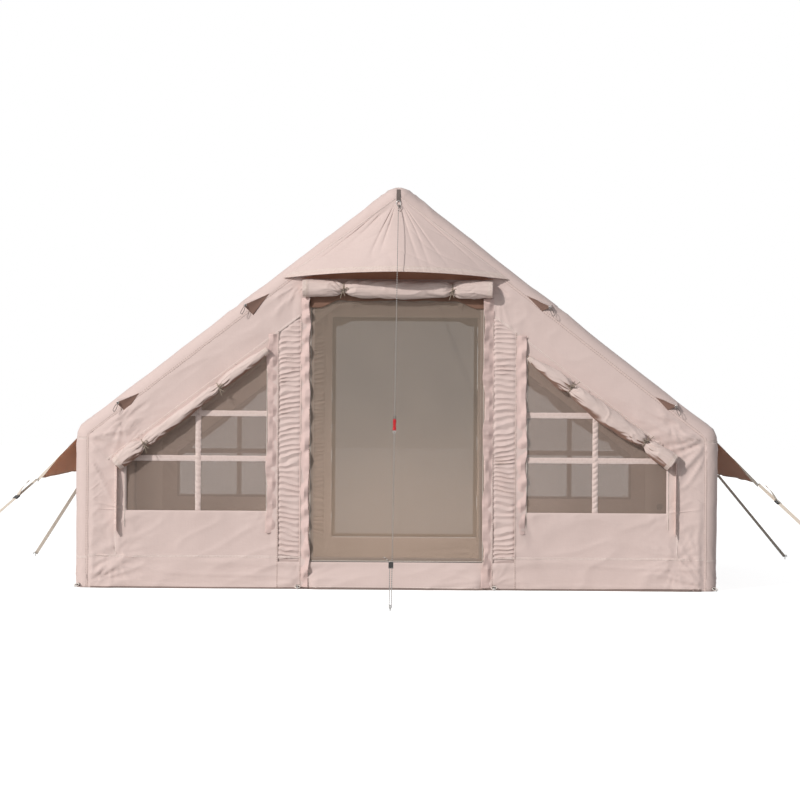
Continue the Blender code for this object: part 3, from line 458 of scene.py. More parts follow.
def woven_paint(name, pitch, dark, light, roughness):
    """Webbing: a coarse plain weave whose uneven threads run between two tones."""
    made, tree, surface = new_material(name)
    threads = placed_group(tree, weave, coordinates(tree, "UV"), Pitch=pitch)
    colour = colour_between(tree, threads.outputs["Shade"], dark, light)
    relief = bumped(tree, threads.outputs["Height"], 0.0004, 0.6)
    principled(tree, surface, colour, relief, Roughness=roughness)
    return made


webbing_paint = woven_paint("sand webbing", 0.0024, painted(208, 194, 178), painted(240, 228, 214), 0.82)

# Ends of the straps at the wing tips and at the pegs, as the solids have them
STRAP_LINES = {
    "front_left": ((-2.301741, -1.102155, 0.662888), (-2.926042, -1.875099, 0.020076)),
    "front_right": ((2.301741, -1.102155, 0.662888), (2.926042, -1.875099, 0.020076)),
    "rear_left": ((-2.301631, 1.101835, 0.662476), (-2.775815, 1.635291, 0.021656)),
    "rear_right": ((2.301655, 1.102269, 0.662949), (2.916287, 1.944910, 0.019884)),
}
# How far each band turns from flat (0) to upright (1), at the wing and at the peg
STRAP_TWISTS = {
    "front_left": (0.1, 0.35),
    "front_right": (0.35, 0.95),
    "rear_left": (0.35, 0.95),
    "rear_right": (0.1, 0.3),
}
STRAP_WIDTH = 0.025
strap_section = webbing_section(STRAP_WIDTH, 0.0019)
BUCKLE_PLACE = (2.40198, -1.22626, 0.55968)
for name, (start, end) in STRAP_LINES.items():
    start, end = np.array(start), np.array(end)
    route = start + (end - start) * np.linspace(0, 1, 24)[:, None]
    along = unit(end - start)
    level = unit(np.cross(along, UP))
    upright = unit(np.cross(along, (0.0, 1.0, 0.0)))
    upright = upright * np.where(np.sum(upright * level, axis=-1, keepdims=True) < 0, -1, 1)
    turning = np.linspace(*STRAP_TWISTS[name], len(route))[:, None]
    flat = unit(level * (1 - turning) + upright * turning)
    points, faces, uv, caps = sweep(route, flat, np.cross(flat, along), strap_section)
    band = make_piece(
        f"{name}_wing_strap", points, faces, uv, [webbing_paint],
        slot="webbing", nodes=[f"{name}_strap"], caps=caps
    )
    on_it = [rods[f"{name}_peg"]]
    if name.startswith("front"):
        # The loose tail drops from the buckle on a quadratic curve of three knots, turning as it goes
        buckle = np.array((math.copysign(BUCKLE_PLACE[0], start[0]), *BUCKLE_PLACE[1:]))
        steps = ((0, 0.006), (0.050, 0.040), (0.110, 0.034))
        knots = [buckle - along * back + UP * rise for back, rise in steps]
        share = np.linspace(0, 1, 16)[:, None]
        drop = (1 - share) ** 2 * knots[0] + 2 * share * (1 - share) * knots[1] + share**2 * knots[2]
        ahead = unit(np.gradient(drop, axis=0))
        turned = unit(level + 0.9 * share * np.cross(level, ahead) * (1 if start[0] < 0 else -1))
        turned = unit(turned - ahead * np.sum(turned * ahead, axis=-1, keepdims=True))
        points, faces, uv, caps = sweep(drop, turned, np.cross(turned, ahead), strap_section)
        tail = make_piece(f"{name}_strap_tail", points, faces, uv, [webbing_paint], slot="webbing", caps=caps)
        on_it += [f"{name}_buckle", tail]


# Roof and side walls
# The skin is a coated oxford cloth. Two roof panels meet at the ridge and wrap round the front and rear
# edges, where they are sewn to the gables; the side walls hang from the eave seams to the ground.

HALF_WIDTH = 2.0
RIDGE_HEIGHT = 2.54
EAVE_HEIGHT = 0.99
GABLE_Y = 1.5
EDGE_RADIUS = 0.08
SKIN_ROUNDING = 0.12
ROOF_ANGLE = math.atan2(RIDGE_HEIGHT - EAVE_HEIGHT, HALF_WIDTH)
SKIN_THICKNESS = 0.0025


def roof_height(x, inset):
    """Height of the straight roof line that lies inset within the cloth's face, x from the middle."""
    return RIDGE_HEIGHT - x * math.tan(ROOF_ANGLE) - inset / math.cos(ROOF_ANGLE)


def house_marks(rounding):
    """Distances along the house line where its parts end, and each one's bend centre (x, z) and turn.

    The parts are the apex arc, the rafter, the eave arc and the leg down to the ground.
    """
    apex = roof_height(0, rounding)
    eave_x = HALF_WIDTH - rounding
    eave_z = roof_height(eave_x, rounding)
    lengths = [
        0,
        rounding * ROOF_ANGLE,
        math.hypot(eave_x, apex - eave_z),
        rounding * (math.pi / 2 - ROOF_ANGLE),
        eave_z,
    ]
    return (
        np.cumsum(lengths),
        np.array([0, 0, eave_x, eave_x, eave_x]),
        np.array([apex, apex, eave_z, eave_z, 0]),
        np.array([0, ROOF_ANGLE, ROOF_ANGLE, math.pi / 2, math.pi / 2]),
    )


def house(u, inset, rounding):
    """(x, z, turn) of the house line at a distance u from the ridge, to the left where u is negative.

    The point is the bend centre plus (rounding - inset) along (sin turn, cos turn).
    """
    marks, centre_x, centre_z, turns = house_marks(rounding)
    far = np.abs(u)
    turn = np.interp(far, marks, turns)
    x = np.interp(far, marks, centre_x) + (rounding - inset) * np.sin(turn)
    z = np.interp(far, marks, centre_z) + (rounding - inset) * np.cos(turn)
    return np.sign(u) * x, z, turn


def smooth(low, high, value):
    """0 up to low, 1 from high, with a cubic step between."""
    share = np.clip((value - low) / (high - low), 0, 1)
    return share * share * (3 - 2 * share)


def wander(x, y, seed):
    """Smooth random height from -1 to 1 over a plane: values at whole numbers, joined by cubic steps."""
    table = np.random.default_rng(seed).uniform(-1, 1, (64, 64))
    i, j = np.floor(x).astype(int), np.floor(y).astype(int)
    s, t = smooth(0, 1, x - i), smooth(0, 1, y - j)
    low = table[i % 64, j % 64] * (1 - s) + table[(i + 1) % 64, j % 64] * s
    high = table[i % 64, (j + 1) % 64] * (1 - s) + table[(i + 1) % 64, (j + 1) % 64] * s
    return low * (1 - t) + high * t


def creases(x, y, seed, sharpness=4):
    """Narrow ridges from 0 to 1 where a wandering height passes zero: (1 - |height|) ** sharpness."""
    return (1 - np.abs(wander(x, y, seed))) ** sharpness


def rays(x, y, origin, count, reach, seed):
    """Creases that fan out from a point where the cloth is held, and die out at the reach."""
    dx, dy = x - origin[0], y - origin[1]
    far = np.hypot(dx, dy)
    angle = np.arctan2(dy, dx)
    fan = creases(angle * count, far / reach * 1.5 + 7, seed, 3)
    return fan * np.exp(-((far / reach) ** 2)) * smooth(0, 0.05, far)


DEPTH_ARC = EDGE_RADIUS * math.pi / 2
DEPTH_FLAT = 2 * (GABLE_Y - EDGE_RADIUS)
DEPTH_SPAN = 2 * DEPTH_ARC + DEPTH_FLAT
HOUSE_MARKS = house_marks(SKIN_ROUNDING)[0]
EAVE_SEAM = float(HOUSE_MARKS[3])
HOUSE_LENGTH = float(HOUSE_MARKS[4])
# Places where the skin is held: how far along the house line, how far its creases reach, and their seed
HELD_PLACES = ((EAVE_SEAM, 0.45, 15), (0.05, 0.5, 16), (HOUSE_LENGTH, 0.4, 17), (1.26, 0.22, 18))


def skin_relief(u, v):
    """How far the skin stands out or sags at u along the house line and v across the depth.

    It sags between the air beams, wrinkles round the held corners, and ripples a little everywhere.
    """
    far = np.abs(u)
    y = v - DEPTH_SPAN / 2
    inner = smooth(0.14, 0.45, GABLE_Y - np.abs(y))
    roof = np.sin(math.pi * np.clip((far - 0.12) / (EAVE_SEAM - 0.24), 0, 1))
    wall = np.sin(math.pi * np.clip((far - EAVE_SEAM - 0.05) / (HOUSE_LENGTH - EAVE_SEAM - 0.1), 0, 1))
    sag = -0.016 * roof * inner - 0.010 * wall * inner
    ripple = 0.003 * wander(u / 0.42, v / 0.36, 11) + 0.0014 * wander(u / 0.13, v / 0.16, 12)
    fine = 0.0016 * creases(u / 0.5 + 0.4 * wander(u / 0.3, v / 0.3, 13), v / 0.12, 14, 5)
    fans = sum(
        0.007 * rays(far, y, (at_u, side * 1.44), 5, reach, seed)
        for at_u, reach, seed in HELD_PLACES
        for side in (-1, 1)
    )
    hem = 0.004 * creases(v / 0.16, far / 0.3, 19, 4) * smooth(HOUSE_LENGTH - 0.2, HOUSE_LENGTH, far)
    loose = smooth(0, 0.10, v) * smooth(0, 0.10, DEPTH_SPAN - v)
    ridge = smooth(0.0, 0.08, far)
    return sag * ridge + (ripple + fine + fans + hem) * (0.25 + 0.75 * loose) * (0.3 + 0.7 * ridge)


def skin_point(u, v, lift=0.0):
    """Point of the skin, u along the house line (left below zero) and v from the front seam back.

    Across the depth the edge turns a quarter circle, then runs straight, then turns again.
    """
    u, v = np.broadcast_arrays(np.asarray(u, dtype=float), np.asarray(v, dtype=float))
    front = np.clip(v / EDGE_RADIUS, 0, math.pi / 2)
    rear = np.clip((DEPTH_SPAN - v) / EDGE_RADIUS, 0, math.pi / 2)
    bend = np.minimum(front, rear)
    side = np.where(v < DEPTH_SPAN / 2, -1.0, 1.0)
    flat_y = np.clip(v - DEPTH_ARC, 0, DEPTH_FLAT) - DEPTH_FLAT / 2
    out = lift + skin_relief(u, v)
    reach = EDGE_RADIUS + out
    x, z, turn = house(u, EDGE_RADIUS - reach * np.sin(bend), SKIN_ROUNDING)
    return np.stack([x, flat_y + side * reach * np.cos(bend), z], axis=-1)


def cloth_grid(points, across, along):
    """A grid of points with its faces and corner UVs, which are the metres across and along at each point."""
    faces, _ = grid(*points.shape[:2])
    uv = np.stack([np.broadcast_to(metres, points.shape[:2]) for metres in (across, along)], axis=-1)
    return points, faces, uv.reshape(-1, 2)[faces]


def thicken(piece, thickness, lined=True, even=True):
    """Gives a sheet its thickness inwards, with the lining's material inside. Sharp folds need even off."""
    solid = piece.modifiers.new("thickness", "SOLIDIFY")
    solid.thickness = thickness
    solid.offset = -1
    solid.use_even_offset = even
    solid.use_quality_normals = True
    if lined:
        solid.material_offset = 1
        solid.material_offset_rim = 0


def skin_panel(name, u_from, u_to, columns, node):
    """One panel of the skin between two distances along the house line."""
    edge = np.linspace(0, DEPTH_ARC, 10)
    flat = np.linspace(DEPTH_ARC, DEPTH_SPAN - DEPTH_ARC, 150)
    v = np.concatenate([edge[:-1], flat, DEPTH_SPAN - edge[::-1][1:]])
    u = np.linspace(u_from, u_to, columns)[:, None]
    made = make_piece(
        name, *cloth_grid(skin_point(u, v), u, v), [cloth_paint, lining_paint], slot="cloth", nodes=[node],
        facing=(np.sign(u_from + u_to), 0, 0.3)
    )
    thicken(made, SKIN_THICKNESS)


def axis_of(tree, kind, axis):
    """Socket of one axis of a kind of texture coordinates."""
    split = flow(tree, "ShaderNodeSeparateXYZ")
    feed(tree, split.inputs[0], coordinates(tree, kind))
    return split.outputs[axis]


def eased(tree, value, low, high):
    """Socket that goes from 0 at low to 1 at high by a cubic step."""
    step = flow(tree, "ShaderNodeMapRange", From_Min=low, From_Max=high, interpolation_type="SMOOTHSTEP")
    feed(tree, step.inputs["Value"], value)
    return step.outputs["Result"]


def cloth_material(name, dark, light, weave_strength=0.35, crumple=0.0022, under=None, **values):
    """Matt woven cloth: two close tones that drift over decimetres, a plain weave and a fine crumple.

    under is a colour painted in where the normal points down: painted shade along the lower side of a roll.
    """
    made, tree, surface = new_material(name)
    place = coordinates(tree, "UV")
    threads = placed_group(tree, weave, place, Pitch=0.0009)
    drift = math_node(tree, "MULTIPLY", noise(tree, place, 3.2, 4.0, Roughness=0.6), 0.5)
    tone = math_node(tree, "MULTIPLY_ADD", threads.outputs["Shade"], 0.5, drift)
    colour = colour_between(tree, tone, dark, light)
    if under is not None:
        # Painted shade: the colour turns to under where the object's normal points down
        colour = colour_between(tree, eased(tree, axis_of(tree, "Normal", "Z"), -0.30, -0.60), colour, under)
    crumpled = bumped(tree, noise(tree, place, 24.0, 3.0, Roughness=0.55, Distortion=0.6), crumple, 0.5)
    normal = bumped(tree, threads.outputs["Height"], 0.00012, weave_strength, crumpled)
    principled(
        tree, surface, colour, normal, Roughness=0.8, Sheen_Weight=0.12, Sheen_Roughness=0.6, **values
    )
    return made


cloth_paint = cloth_material("sand oxford cloth", painted(206, 184, 177), painted(230, 209, 203))
lining_paint = cloth_material(
    "coated inside of the cloth", painted(206, 184, 170), painted(226, 206, 194), 0.2
)
HANDS = (("left", -1), ("right", 1))
for hand, sign in HANDS:
    skin_panel(f"{hand}_roof_cloth", sign * 0.0002, sign * EAVE_SEAM, 150, f"{hand}_roof_panel")
    wall_top, wall_foot = EAVE_SEAM + 0.0003, HOUSE_LENGTH - 0.0015
    skin_panel(f"{hand}_wall_cloth", sign * wall_top, sign * wall_foot, 60, f"{hand}_side_wall")


# Seams of the skin
# Flat-felled seams with two rows of stitching: along the ridge and the eaves, over the sleeves of both
# arches, and where two widths of cloth meet in the middle of the roof.

# Mask of two rows of dashes: |across - middle| is within half a thread of the offset, and the share of the
# pitch along is below DASH_SHARE
DASH_SHARE = 0.62
stitches, stitches_in, stitches_out = group(
    "stitch rows",
    {
        "Place": ("NodeSocketVector", None),
        "Middle": ("NodeSocketFloat", 0.006),
        "Offset": ("NodeSocketFloat", 0.0035),
        "Pitch": ("NodeSocketFloat", 0.006),
        "Half": ("NodeSocketFloat", 0.0007),
    },
    {"Mask": "NodeSocketFloat"},
)
stitch_axes = flow(stitches, "ShaderNodeSeparateXYZ")
feed(stitches, stitch_axes.inputs[0], stitches_in.outputs["Place"])
from_row = stitch_axes.outputs["X"]
for label in ("Middle", "Offset"):
    from_row = math_node(stitches, "SUBTRACT", from_row, stitches_in.outputs[label])
    from_row = math_node(stitches, "ABSOLUTE", from_row)
on_row = math_node(stitches, "LESS_THAN", from_row, stitches_in.outputs["Half"])
pitches = math_node(stitches, "DIVIDE", stitch_axes.outputs["Y"], stitches_in.outputs["Pitch"])
dashed = math_node(stitches, "LESS_THAN", math_node(stitches, "FRACT", pitches), DASH_SHARE)
feed(stitches, stitches_out.inputs["Mask"], math_node(stitches, "MULTIPLY", on_row, dashed))


def seam_material(name, dark, light, thread, middle, offset, pitch=0.009, half=0.0009):
    """Cloth with two rows of stitching along it and a pucker at every few stitches."""
    made, tree, surface = new_material(name)
    place = coordinates(tree, "UV")
    threads = placed_group(tree, weave, place, Pitch=0.0009)
    rows = placed_group(tree, stitches, place, Middle=middle, Offset=offset, Pitch=pitch, Half=half)
    puckers = noise(tree, place, 70.0, 2.0)
    cloth = colour_between(tree, puckers, dark, light)
    woven = bumped(tree, threads.outputs["Height"], 0.00012, 0.3, bumped(tree, puckers, 0.003, 0.5))
    sewn = bumped(tree, rows.outputs["Mask"], 0.0007, 0.8, woven)
    principled(tree, surface, colour_between(tree, rows.outputs["Mask"], cloth, thread), sewn, Roughness=0.8)
    return made


SEAM_WIDTH = 0.014
seam_paint = seam_material(
    "stitched seam", painted(206, 184, 176), painted(234, 214, 207), painted(250, 240, 234), SEAM_WIDTH / 2,
    0.0042
)
SEAM_ACROSS = np.linspace(-0.5, 0.5, 7) * SEAM_WIDTH
SEAM_RISE = 0.0009 * np.array((0.0, 0.8, 1.0, 0.75, 1.0, 0.8, 0.0))
SEAM_GROUND = 0.0002


def beside_line(line, across):
    """Both coordinates of places beside a line in a plane: point + across * direction turned left."""
    ahead = unit(np.gradient(line, axis=0))
    turned = np.column_stack([-ahead[:, 1], ahead[:, 0]])
    places = line[:, None, :] + turned[:, None, :] * across[None, :, None]
    return places[..., 0], places[..., 1]


def joined(parts):
    """Several strips as one set of points, faces and corner UVs."""
    points, faces, uv, count = [], [], [], 0
    for part_points, part_faces, part_uv in parts:
        points.append(part_points.reshape(-1, 3))
        faces.append(part_faces + count)
        uv.append(part_uv.reshape(-1, 4, 2))
        count += len(points[-1])
    return np.concatenate(points), np.concatenate(faces), np.concatenate(uv)


def skin_seam(u, v):
    """Strip on the skin along a line of (u, v), moved across it and lifted by the seam's rise."""
    line = np.column_stack(np.broadcast_arrays(u, v)).astype(float)
    points = skin_point(*beside_line(line, SEAM_ACROSS), SEAM_RISE + SEAM_GROUND)
    return cloth_grid(points, SEAM_ACROSS - SEAM_ACROSS[0], distances(line)[:, None])


over_roof = np.linspace(-EAVE_SEAM, EAVE_SEAM, 420)
over_all = np.linspace(-HOUSE_LENGTH + 0.004, HOUSE_LENGTH - 0.004, 520)
down_depth = np.linspace(0.006, DEPTH_SPAN - 0.006, 260)
ARCH_SEAM = 0.30
SKIRT_SEAM = 0.19
skin_seams = [skin_seam(0.0, down_depth)]
skin_seams += [skin_seam(over_all, v) for v in (ARCH_SEAM, DEPTH_SPAN - ARCH_SEAM)]
skin_seams += [skin_seam(over_roof, DEPTH_SPAN / 2)]
skin_seams += [skin_seam(sign * EAVE_SEAM, down_depth) for sign in (-1, 1)]
skin_seams += [skin_seam(sign * (HOUSE_LENGTH - SKIRT_SEAM), down_depth) for sign in (-1, 1)]
make_piece("skin_seams", *joined(skin_seams), [seam_paint], slot="cloth", facing=(0, 0, 1))


# Gable walls
# Each gable is sewn from oxford cloth panels: a threshold and skirt at the foot, a leg band beside each
# window, a rafter band, and gathered strips between the door and the windows whose folds are held by two
# rows of stitches.

DOOR_HALF = 0.545
DOOR_SILL = 0.17
DOOR_HEAD = 1.8178
GATHER_INNER = 0.600
GATHER_OUTER = 0.737
WINDOW_INNER = 0.81
WINDOW_OUTER = 1.6785
WINDOW_SILL = 0.485
WINDOW_HIGH = 1.4675
GATHER_HIGH = 1.708
LEG_SEAM = 1.748
SKIRT_TOP = 0.20
GABLE_INSET = 0.0803
SLANT = math.tan(ROOF_ANGLE)


# Held corners of the cloth from which creases fan out: x, z, how far they reach and how high they stand
HELD_CORNERS = (
    (1.975, 0.945, 0.36, 0.024),
    (1.92, 0.03, 0.38, 0.013),
    (1.70, 1.05, 0.20, 0.012),
    (1.748, 0.20, 0.22, 0.009),
    (0.62, 1.90, 0.30, 0.008),
    (0.81, 0.485, 0.16, 0.005),
    (1.6785, 0.485, 0.18, 0.006),
    (0.60, 0.04, 0.26, 0.008),
)


def gable_relief(x, z, side):
    """How far the gable stands out at (x, z); side is -1 for the front one and 1 for the rear one.

    Creases fan out from the held corners and run in from the gathered strips, and the open cloth ripples.
    The relief fades to nothing at the sewn edge.
    """
    seed = 40 if side < 0 else 90
    far = np.abs(x)
    inset = np.minimum((roof_height(far, 0) - z) * math.cos(ROOF_ANGLE), HALF_WIDTH - far)
    free = smooth(EDGE_RADIUS, EDGE_RADIUS + 0.04, inset)
    pulls = smooth(0.06, 0.01, far - GATHER_OUTER) * smooth(GATHER_OUTER - 0.01, GATHER_OUTER, far)
    tugs = 0.0030 * pulls * creases(z / 0.045, x / 0.12, seed, 2) * smooth(0.17, 0.24, z)
    ripple = 0.0042 * wander(x / 0.33, z / 0.28, seed + 3) + 0.0020 * wander(x / 0.11, z / 0.10, seed + 4)
    slack = 0.0042 * creases((x + 0.6 * z) / 0.34, (z - 0.4 * x) / 0.13, seed + 5, 5)
    fans = 0.0
    for at_x, at_z, reach, height in HELD_CORNERS:
        for hand in (-1, 1):
            seed += 1
            fans = fans + height * rays(x, z, (hand * at_x, at_z), 5, reach, seed)
    edge_pulls = 0.0035 * creases((z + far * SLANT) / 0.05, inset / 0.12 + 3, seed + 9, 3)
    edge_pulls = edge_pulls * np.exp(-((inset - 0.12) / 0.05) ** 2)
    skirt = 0.005 * creases(x / 0.55 + 2, z / 0.055, seed + 7, 4) * smooth(-SKIRT_TOP, 0.02 - SKIRT_TOP, -z)
    pinned = 0.0035 * creases(x / 0.06, z / 0.16, seed + 8, 3)
    pinned = pinned * np.exp(-np.abs(z - 0.465) / 0.03) * smooth(0.8, 0.85, far)
    threshold = 0.020 * smooth(DOOR_SILL, 0, z) * smooth(0.545, 0.50, far)
    # The zips beside the door stay straight, so their sliders run free up to its head
    taut = smooth(0.016, 0.045, np.abs(far - 0.557)) + smooth(1.72, 1.64, z) + smooth(1.83, 1.88, z)
    folds = tugs + ripple + slack + fans + edge_pulls + skirt + pinned
    return threshold + np.minimum(taut, 1) * free * folds


def gable_point(x, z, side, lift=0.0):
    """Point of a gable's face, lifted off it; x runs to the tent's right on both gables."""
    x, z = np.broadcast_arrays(np.asarray(x, dtype=float), np.asarray(z, dtype=float))
    return np.stack([x, side * (GABLE_Y + gable_relief(x, z, side) + lift), z], axis=-1)


def opening_head(far):
    """Height where the openings end: the door's head, the strip's slanted top, the window's slanted edge."""
    marks = [0, DOOR_HALF, GATHER_INNER, GATHER_OUTER, WINDOW_INNER, 3]
    heights = [DOOR_HEAD, DOOR_HEAD, GATHER_HIGH, GATHER_HIGH - (GATHER_OUTER - GATHER_INNER) * SLANT]
    return np.interp(far, marks, [*heights, WINDOW_HIGH, WINDOW_HIGH - (3 - WINDOW_INNER) * SLANT])


def gable_wall(name, side):
    """Gable cloth on one grid whose rows follow the openings' sills and heads, less the openings' quads."""
    turns = np.linspace(ROOF_ANGLE, math.pi / 2, 6)
    rounded = HALF_WIDTH - SKIN_ROUNDING + (SKIN_ROUNDING - GABLE_INSET) * np.sin(turns)
    marks = (0, 0.0243, DOOR_HALF, GATHER_INNER, GATHER_OUTER, WINDOW_INNER, WINDOW_OUTER)
    marks = (*marks, LEG_SEAM, rounded[0])
    counts = (3, 24, 6, 12, 7, 52, 6, 14)
    spans = [np.linspace(a, b, n, endpoint=False) for a, b, n in zip(marks, marks[1:], counts)]
    half = np.concatenate([*spans, rounded])
    x = np.concatenate([-half[::-1], half[1:]])
    far = np.abs(x)
    top_x, top_z, _ = house(np.linspace(0, HOUSE_MARKS[3], 4000), GABLE_INSET, SKIN_ROUNDING)
    top_z[0] = house(1e-6, GABLE_INSET, SKIN_ROUNDING)[1]
    top = np.interp(far, top_x, top_z)
    sills = [np.full_like(x, height) for height in (0.0015, DOOR_SILL, WINDOW_SILL)]
    levels = [*sills, opening_head(far), top]
    row_counts = (16, 26, 158, 34)
    bands = [
        low + (high - low) * np.linspace(0, 1, n, endpoint=False)[:, None]
        for low, high, n in zip(levels, levels[1:], row_counts)
    ]
    z = np.concatenate([*bands, [top]])
    points = gable_point(np.broadcast_to(x, z.shape), z, side)
    faces, places = grid(*z.shape)
    middle = np.abs((x[places[:, 0, 1]] + x[places[:, 1, 1]]) / 2)
    row = places[:, 0, 0]
    sill, window_sill, head = np.cumsum(row_counts[:3])
    door = (middle < DOOR_HALF) & (row >= sill)
    gathered = (middle > GATHER_INNER) & (middle < GATHER_OUTER) & (row >= sill)
    window = (middle > WINDOW_INNER) & (middle < WINDOW_OUTER) & (row >= window_sill)
    kept = ~((door | window | gathered) & (row < head))
    used, renumbered = np.unique(faces[kept], return_inverse=True)
    points, faces = points.reshape(-1, 3)[used], renumbered.reshape(-1, 4)
    wall = make_piece(
        name, points, faces, points[faces][..., [0, 2]], [cloth_paint, lining_paint], slot="cloth",
        nodes=[name.replace("_cloth", "")], facing=(0, side, 0)
    )
    thicken(wall, SKIN_THICKNESS)


# House outline less the door, the windows and the gathered strips
GABLES = (("front", -1), ("rear", 1))
for name, side in GABLES:
    gable_wall(f"{name}_wall_cloth", side)


# Gathered strips
# Between the door and each window a strip of the same cloth is gathered lengthwise, so that it has folds
# across it all the way up. Two rows of stitches at each edge hold the folds.

FOLD_PITCH = 0.034
FOLD_HEIGHT = 0.0185
STRIP_WIDTH = GATHER_OUTER - GATHER_INNER + 0.012


def gathered_strip(mirror, side, seed):
    """A gathered strip's points, faces and UVs: folds stand proud and are pinned flat at both edges.

    fold = |sin(pi * (z / pitch + wander))| ** 0.75, and its foot is drawn a little up and down along z.
    """
    across, up = np.meshgrid(np.linspace(0, 1, 22), np.linspace(0, 1, 430), indexing="ij")
    x = GATHER_INNER - 0.006 + across * STRIP_WIDTH
    low = DOOR_SILL - 0.008
    high = GATHER_HIGH + 0.006 - (x - GATHER_INNER) * SLANT
    z = low + (high - low) * up
    drift = 0.9 * wander(across * 1.3, z / 0.07, seed) + 0.35 * wander(across * 3, z / 0.03, seed + 1)
    place = z / FOLD_PITCH + 0.42 * drift + 1.2 * wander(across * 0.5, z / 0.3, seed + 2)
    open_share = smooth(0, 0.16, across) * smooth(0, 0.16, 1 - across)
    uneven = 0.66 + 0.34 * wander(across * 2.2, place * 0.8, seed + 3)
    height = FOLD_HEIGHT * uneven * (0.14 + 0.86 * open_share)
    calm = smooth(0, 0.05, z - low) * smooth(0, 0.04, high - z)
    lift = height * np.abs(np.sin(math.pi * place)) ** 0.75 * calm - 0.0032
    z = z + 0.0045 * np.sin(2 * math.pi * place) * open_share * calm
    points = np.stack([mirror * x, side * (GABLE_Y + lift), z], axis=-1)
    return cloth_grid(points, across * 0.149, up * 2.175)


for name, side in GABLES:
    for hand, mirror in HANDS:
        strip = make_piece(
            f"{name}_{hand}_gathered_strip", *gathered_strip(mirror, side, 120 + 7 * mirror + 3 * side),
            [cloth_paint, lining_paint], slot="cloth", facing=(0, side, 0)
        )
        thicken(strip, 0.0010, even=False)


# Seams of the gables
# Skirt seam, leg seams, the double row above each rolled window cover, and the rows that hold the gathered
# strips, whose dark dashes are painted shade between the puckers. A folded edge of the roof cloth stands a
# little proud where it is sewn on to the gable, and its dark rows are painted shade of the groove there.

def gable_strip(line, side, across=SEAM_ACROSS, rise=SEAM_RISE, ground=SEAM_GROUND):
    """Strip on a gable along a line of (x, z), lifted off the cloth by the seam's rise."""
    points = gable_point(*beside_line(line, across), side, rise + ground)
    return cloth_grid(points, across - across[0], distances(line)[:, None])


def between(start, end, step=0.008):
    """Points on a straight line, about a step apart."""
    start, end = np.array(start, dtype=float), np.array(end, dtype=float)
    count = max(3, int(np.linalg.norm(end - start) / step))
    return start + (end - start) * np.linspace(0, 1, count)[:, None]


# Painted shade: the dark dashes stand for the shade between the puckers
row_shade_paint = seam_material(
    "puckered rows with painted shade", painted(206, 184, 176), painted(236, 216, 209), painted(146, 118, 108), 0.0045, 0.0,
    0.013, 0.0016
)
ROW_ACROSS = np.linspace(-0.5, 0.5, 5) * 0.009
ROW_RISE = 0.0010 * np.array((0.0, 0.9, 0.6, 0.9, 0.0))
OVER_COVER = WINDOW_HIGH + 0.098
# Seams of half a gable as pairs of (x, z): the skirt, the leg, above the window's cover, below the door
HALF_SEAMS = (
    ((0.60, SKIRT_TOP), (1.918, SKIRT_TOP)),
    ((LEG_SEAM, SKIRT_TOP), (LEG_SEAM, 0.84)),
    ((0.605, OVER_COVER + 0.205 * SLANT - 0.02), (1.80, OVER_COVER - 0.99 * SLANT)),
    ((0.5455, 0.004), (0.5455, DOOR_SILL)),
)
for name, side in GABLES:
    strips, rows = [], []
    for mirror in (-1, 1):
        for ends in HALF_SEAMS:
            strips.append(gable_strip(between(*((mirror * x, z) for x, z in ends)), side))
        for edge, top in ((GATHER_INNER - 0.003, GATHER_HIGH), (GATHER_OUTER + 0.003, GATHER_HIGH - 0.106)):
            line = between((mirror * edge, 0.01), (mirror * edge, top), 0.005)
            ground = 0.0010 + 0.0016 * wander(distances(line) / 0.02, 0 * line[:, 0], 37)[:, None]
            rows.append(gable_strip(line, side, ROW_ACROSS, ROW_RISE, ground))
    strips.append(gable_strip(between((-0.55, 0.012), (0.55, 0.012)), side))
    make_piece(f"{name}_wall_seams", *joined(strips), [seam_paint], slot="cloth", facing=(0, side, 0))
    make_piece(f"{name}_gather_rows", *joined(rows), [row_shade_paint], slot="cloth", facing=(0, side, 0))

# Painted shade: the dark rows along the fold stand for the shade in the groove at the seam
edge_shade_paint = seam_material(
    "seam edge with painted groove shade", painted(204, 181, 173), painted(232, 211, 204), painted(158, 134, 126), 0.0105, 0.0064,
    0.016, 0.0010
)
FOLD_INSET = 0.066
FOLD_WIDTH = 0.018
for name, side in GABLES:
    u = np.linspace(-HOUSE_LENGTH + 0.002, HOUSE_LENGTH - 0.002, 620)[:, None]
    across = np.linspace(0, 1, 6)
    wave = 0.0012 * wander(u / 0.05, u * 0, 33 + side)
    x, z, _ = house(u, FOLD_INSET + (FOLD_WIDTH + wave) * across, SKIN_ROUNDING)
    # The fold lies on the quarter circle of the roof's edge and drops behind the gable's face with it
    share = np.clip((EDGE_RADIUS - FOLD_INSET - FOLD_WIDTH * across) / EDGE_RADIUS, 0, 1)
    drop = EDGE_RADIUS * (1 - np.cos(np.arcsin(share)))
    lift = 0.0003 + 0.0012 * np.sin(across * math.pi)
    y = side * (GABLE_Y - drop + lift + 0.0005 * wander(u / 0.03, u * 0, 35) * across)
    fold = cloth_grid(np.stack([x, y, z], axis=-1), FOLD_WIDTH * across, u)
    make_piece(f"{name}_edge_fold", *fold, [edge_shade_paint], slot="cloth", facing=(0, side, 0))


# Ground strips
# A dark strip of the same weave is sewn along the foot of each gable; its dark colour is painted shade along
# the ground line. It closes the wall to the ground and its height wanders a little, as it sinks into the
# grass.

def sheet_piece(name, points, paints, axes=(0, 2), **settings):
    """Piece of one grid of points whose UVs are two of their coordinates."""
    laid = cloth_grid(points, points[..., axes[0]], points[..., axes[1]])
    return make_piece(name, *laid, paints, **settings)
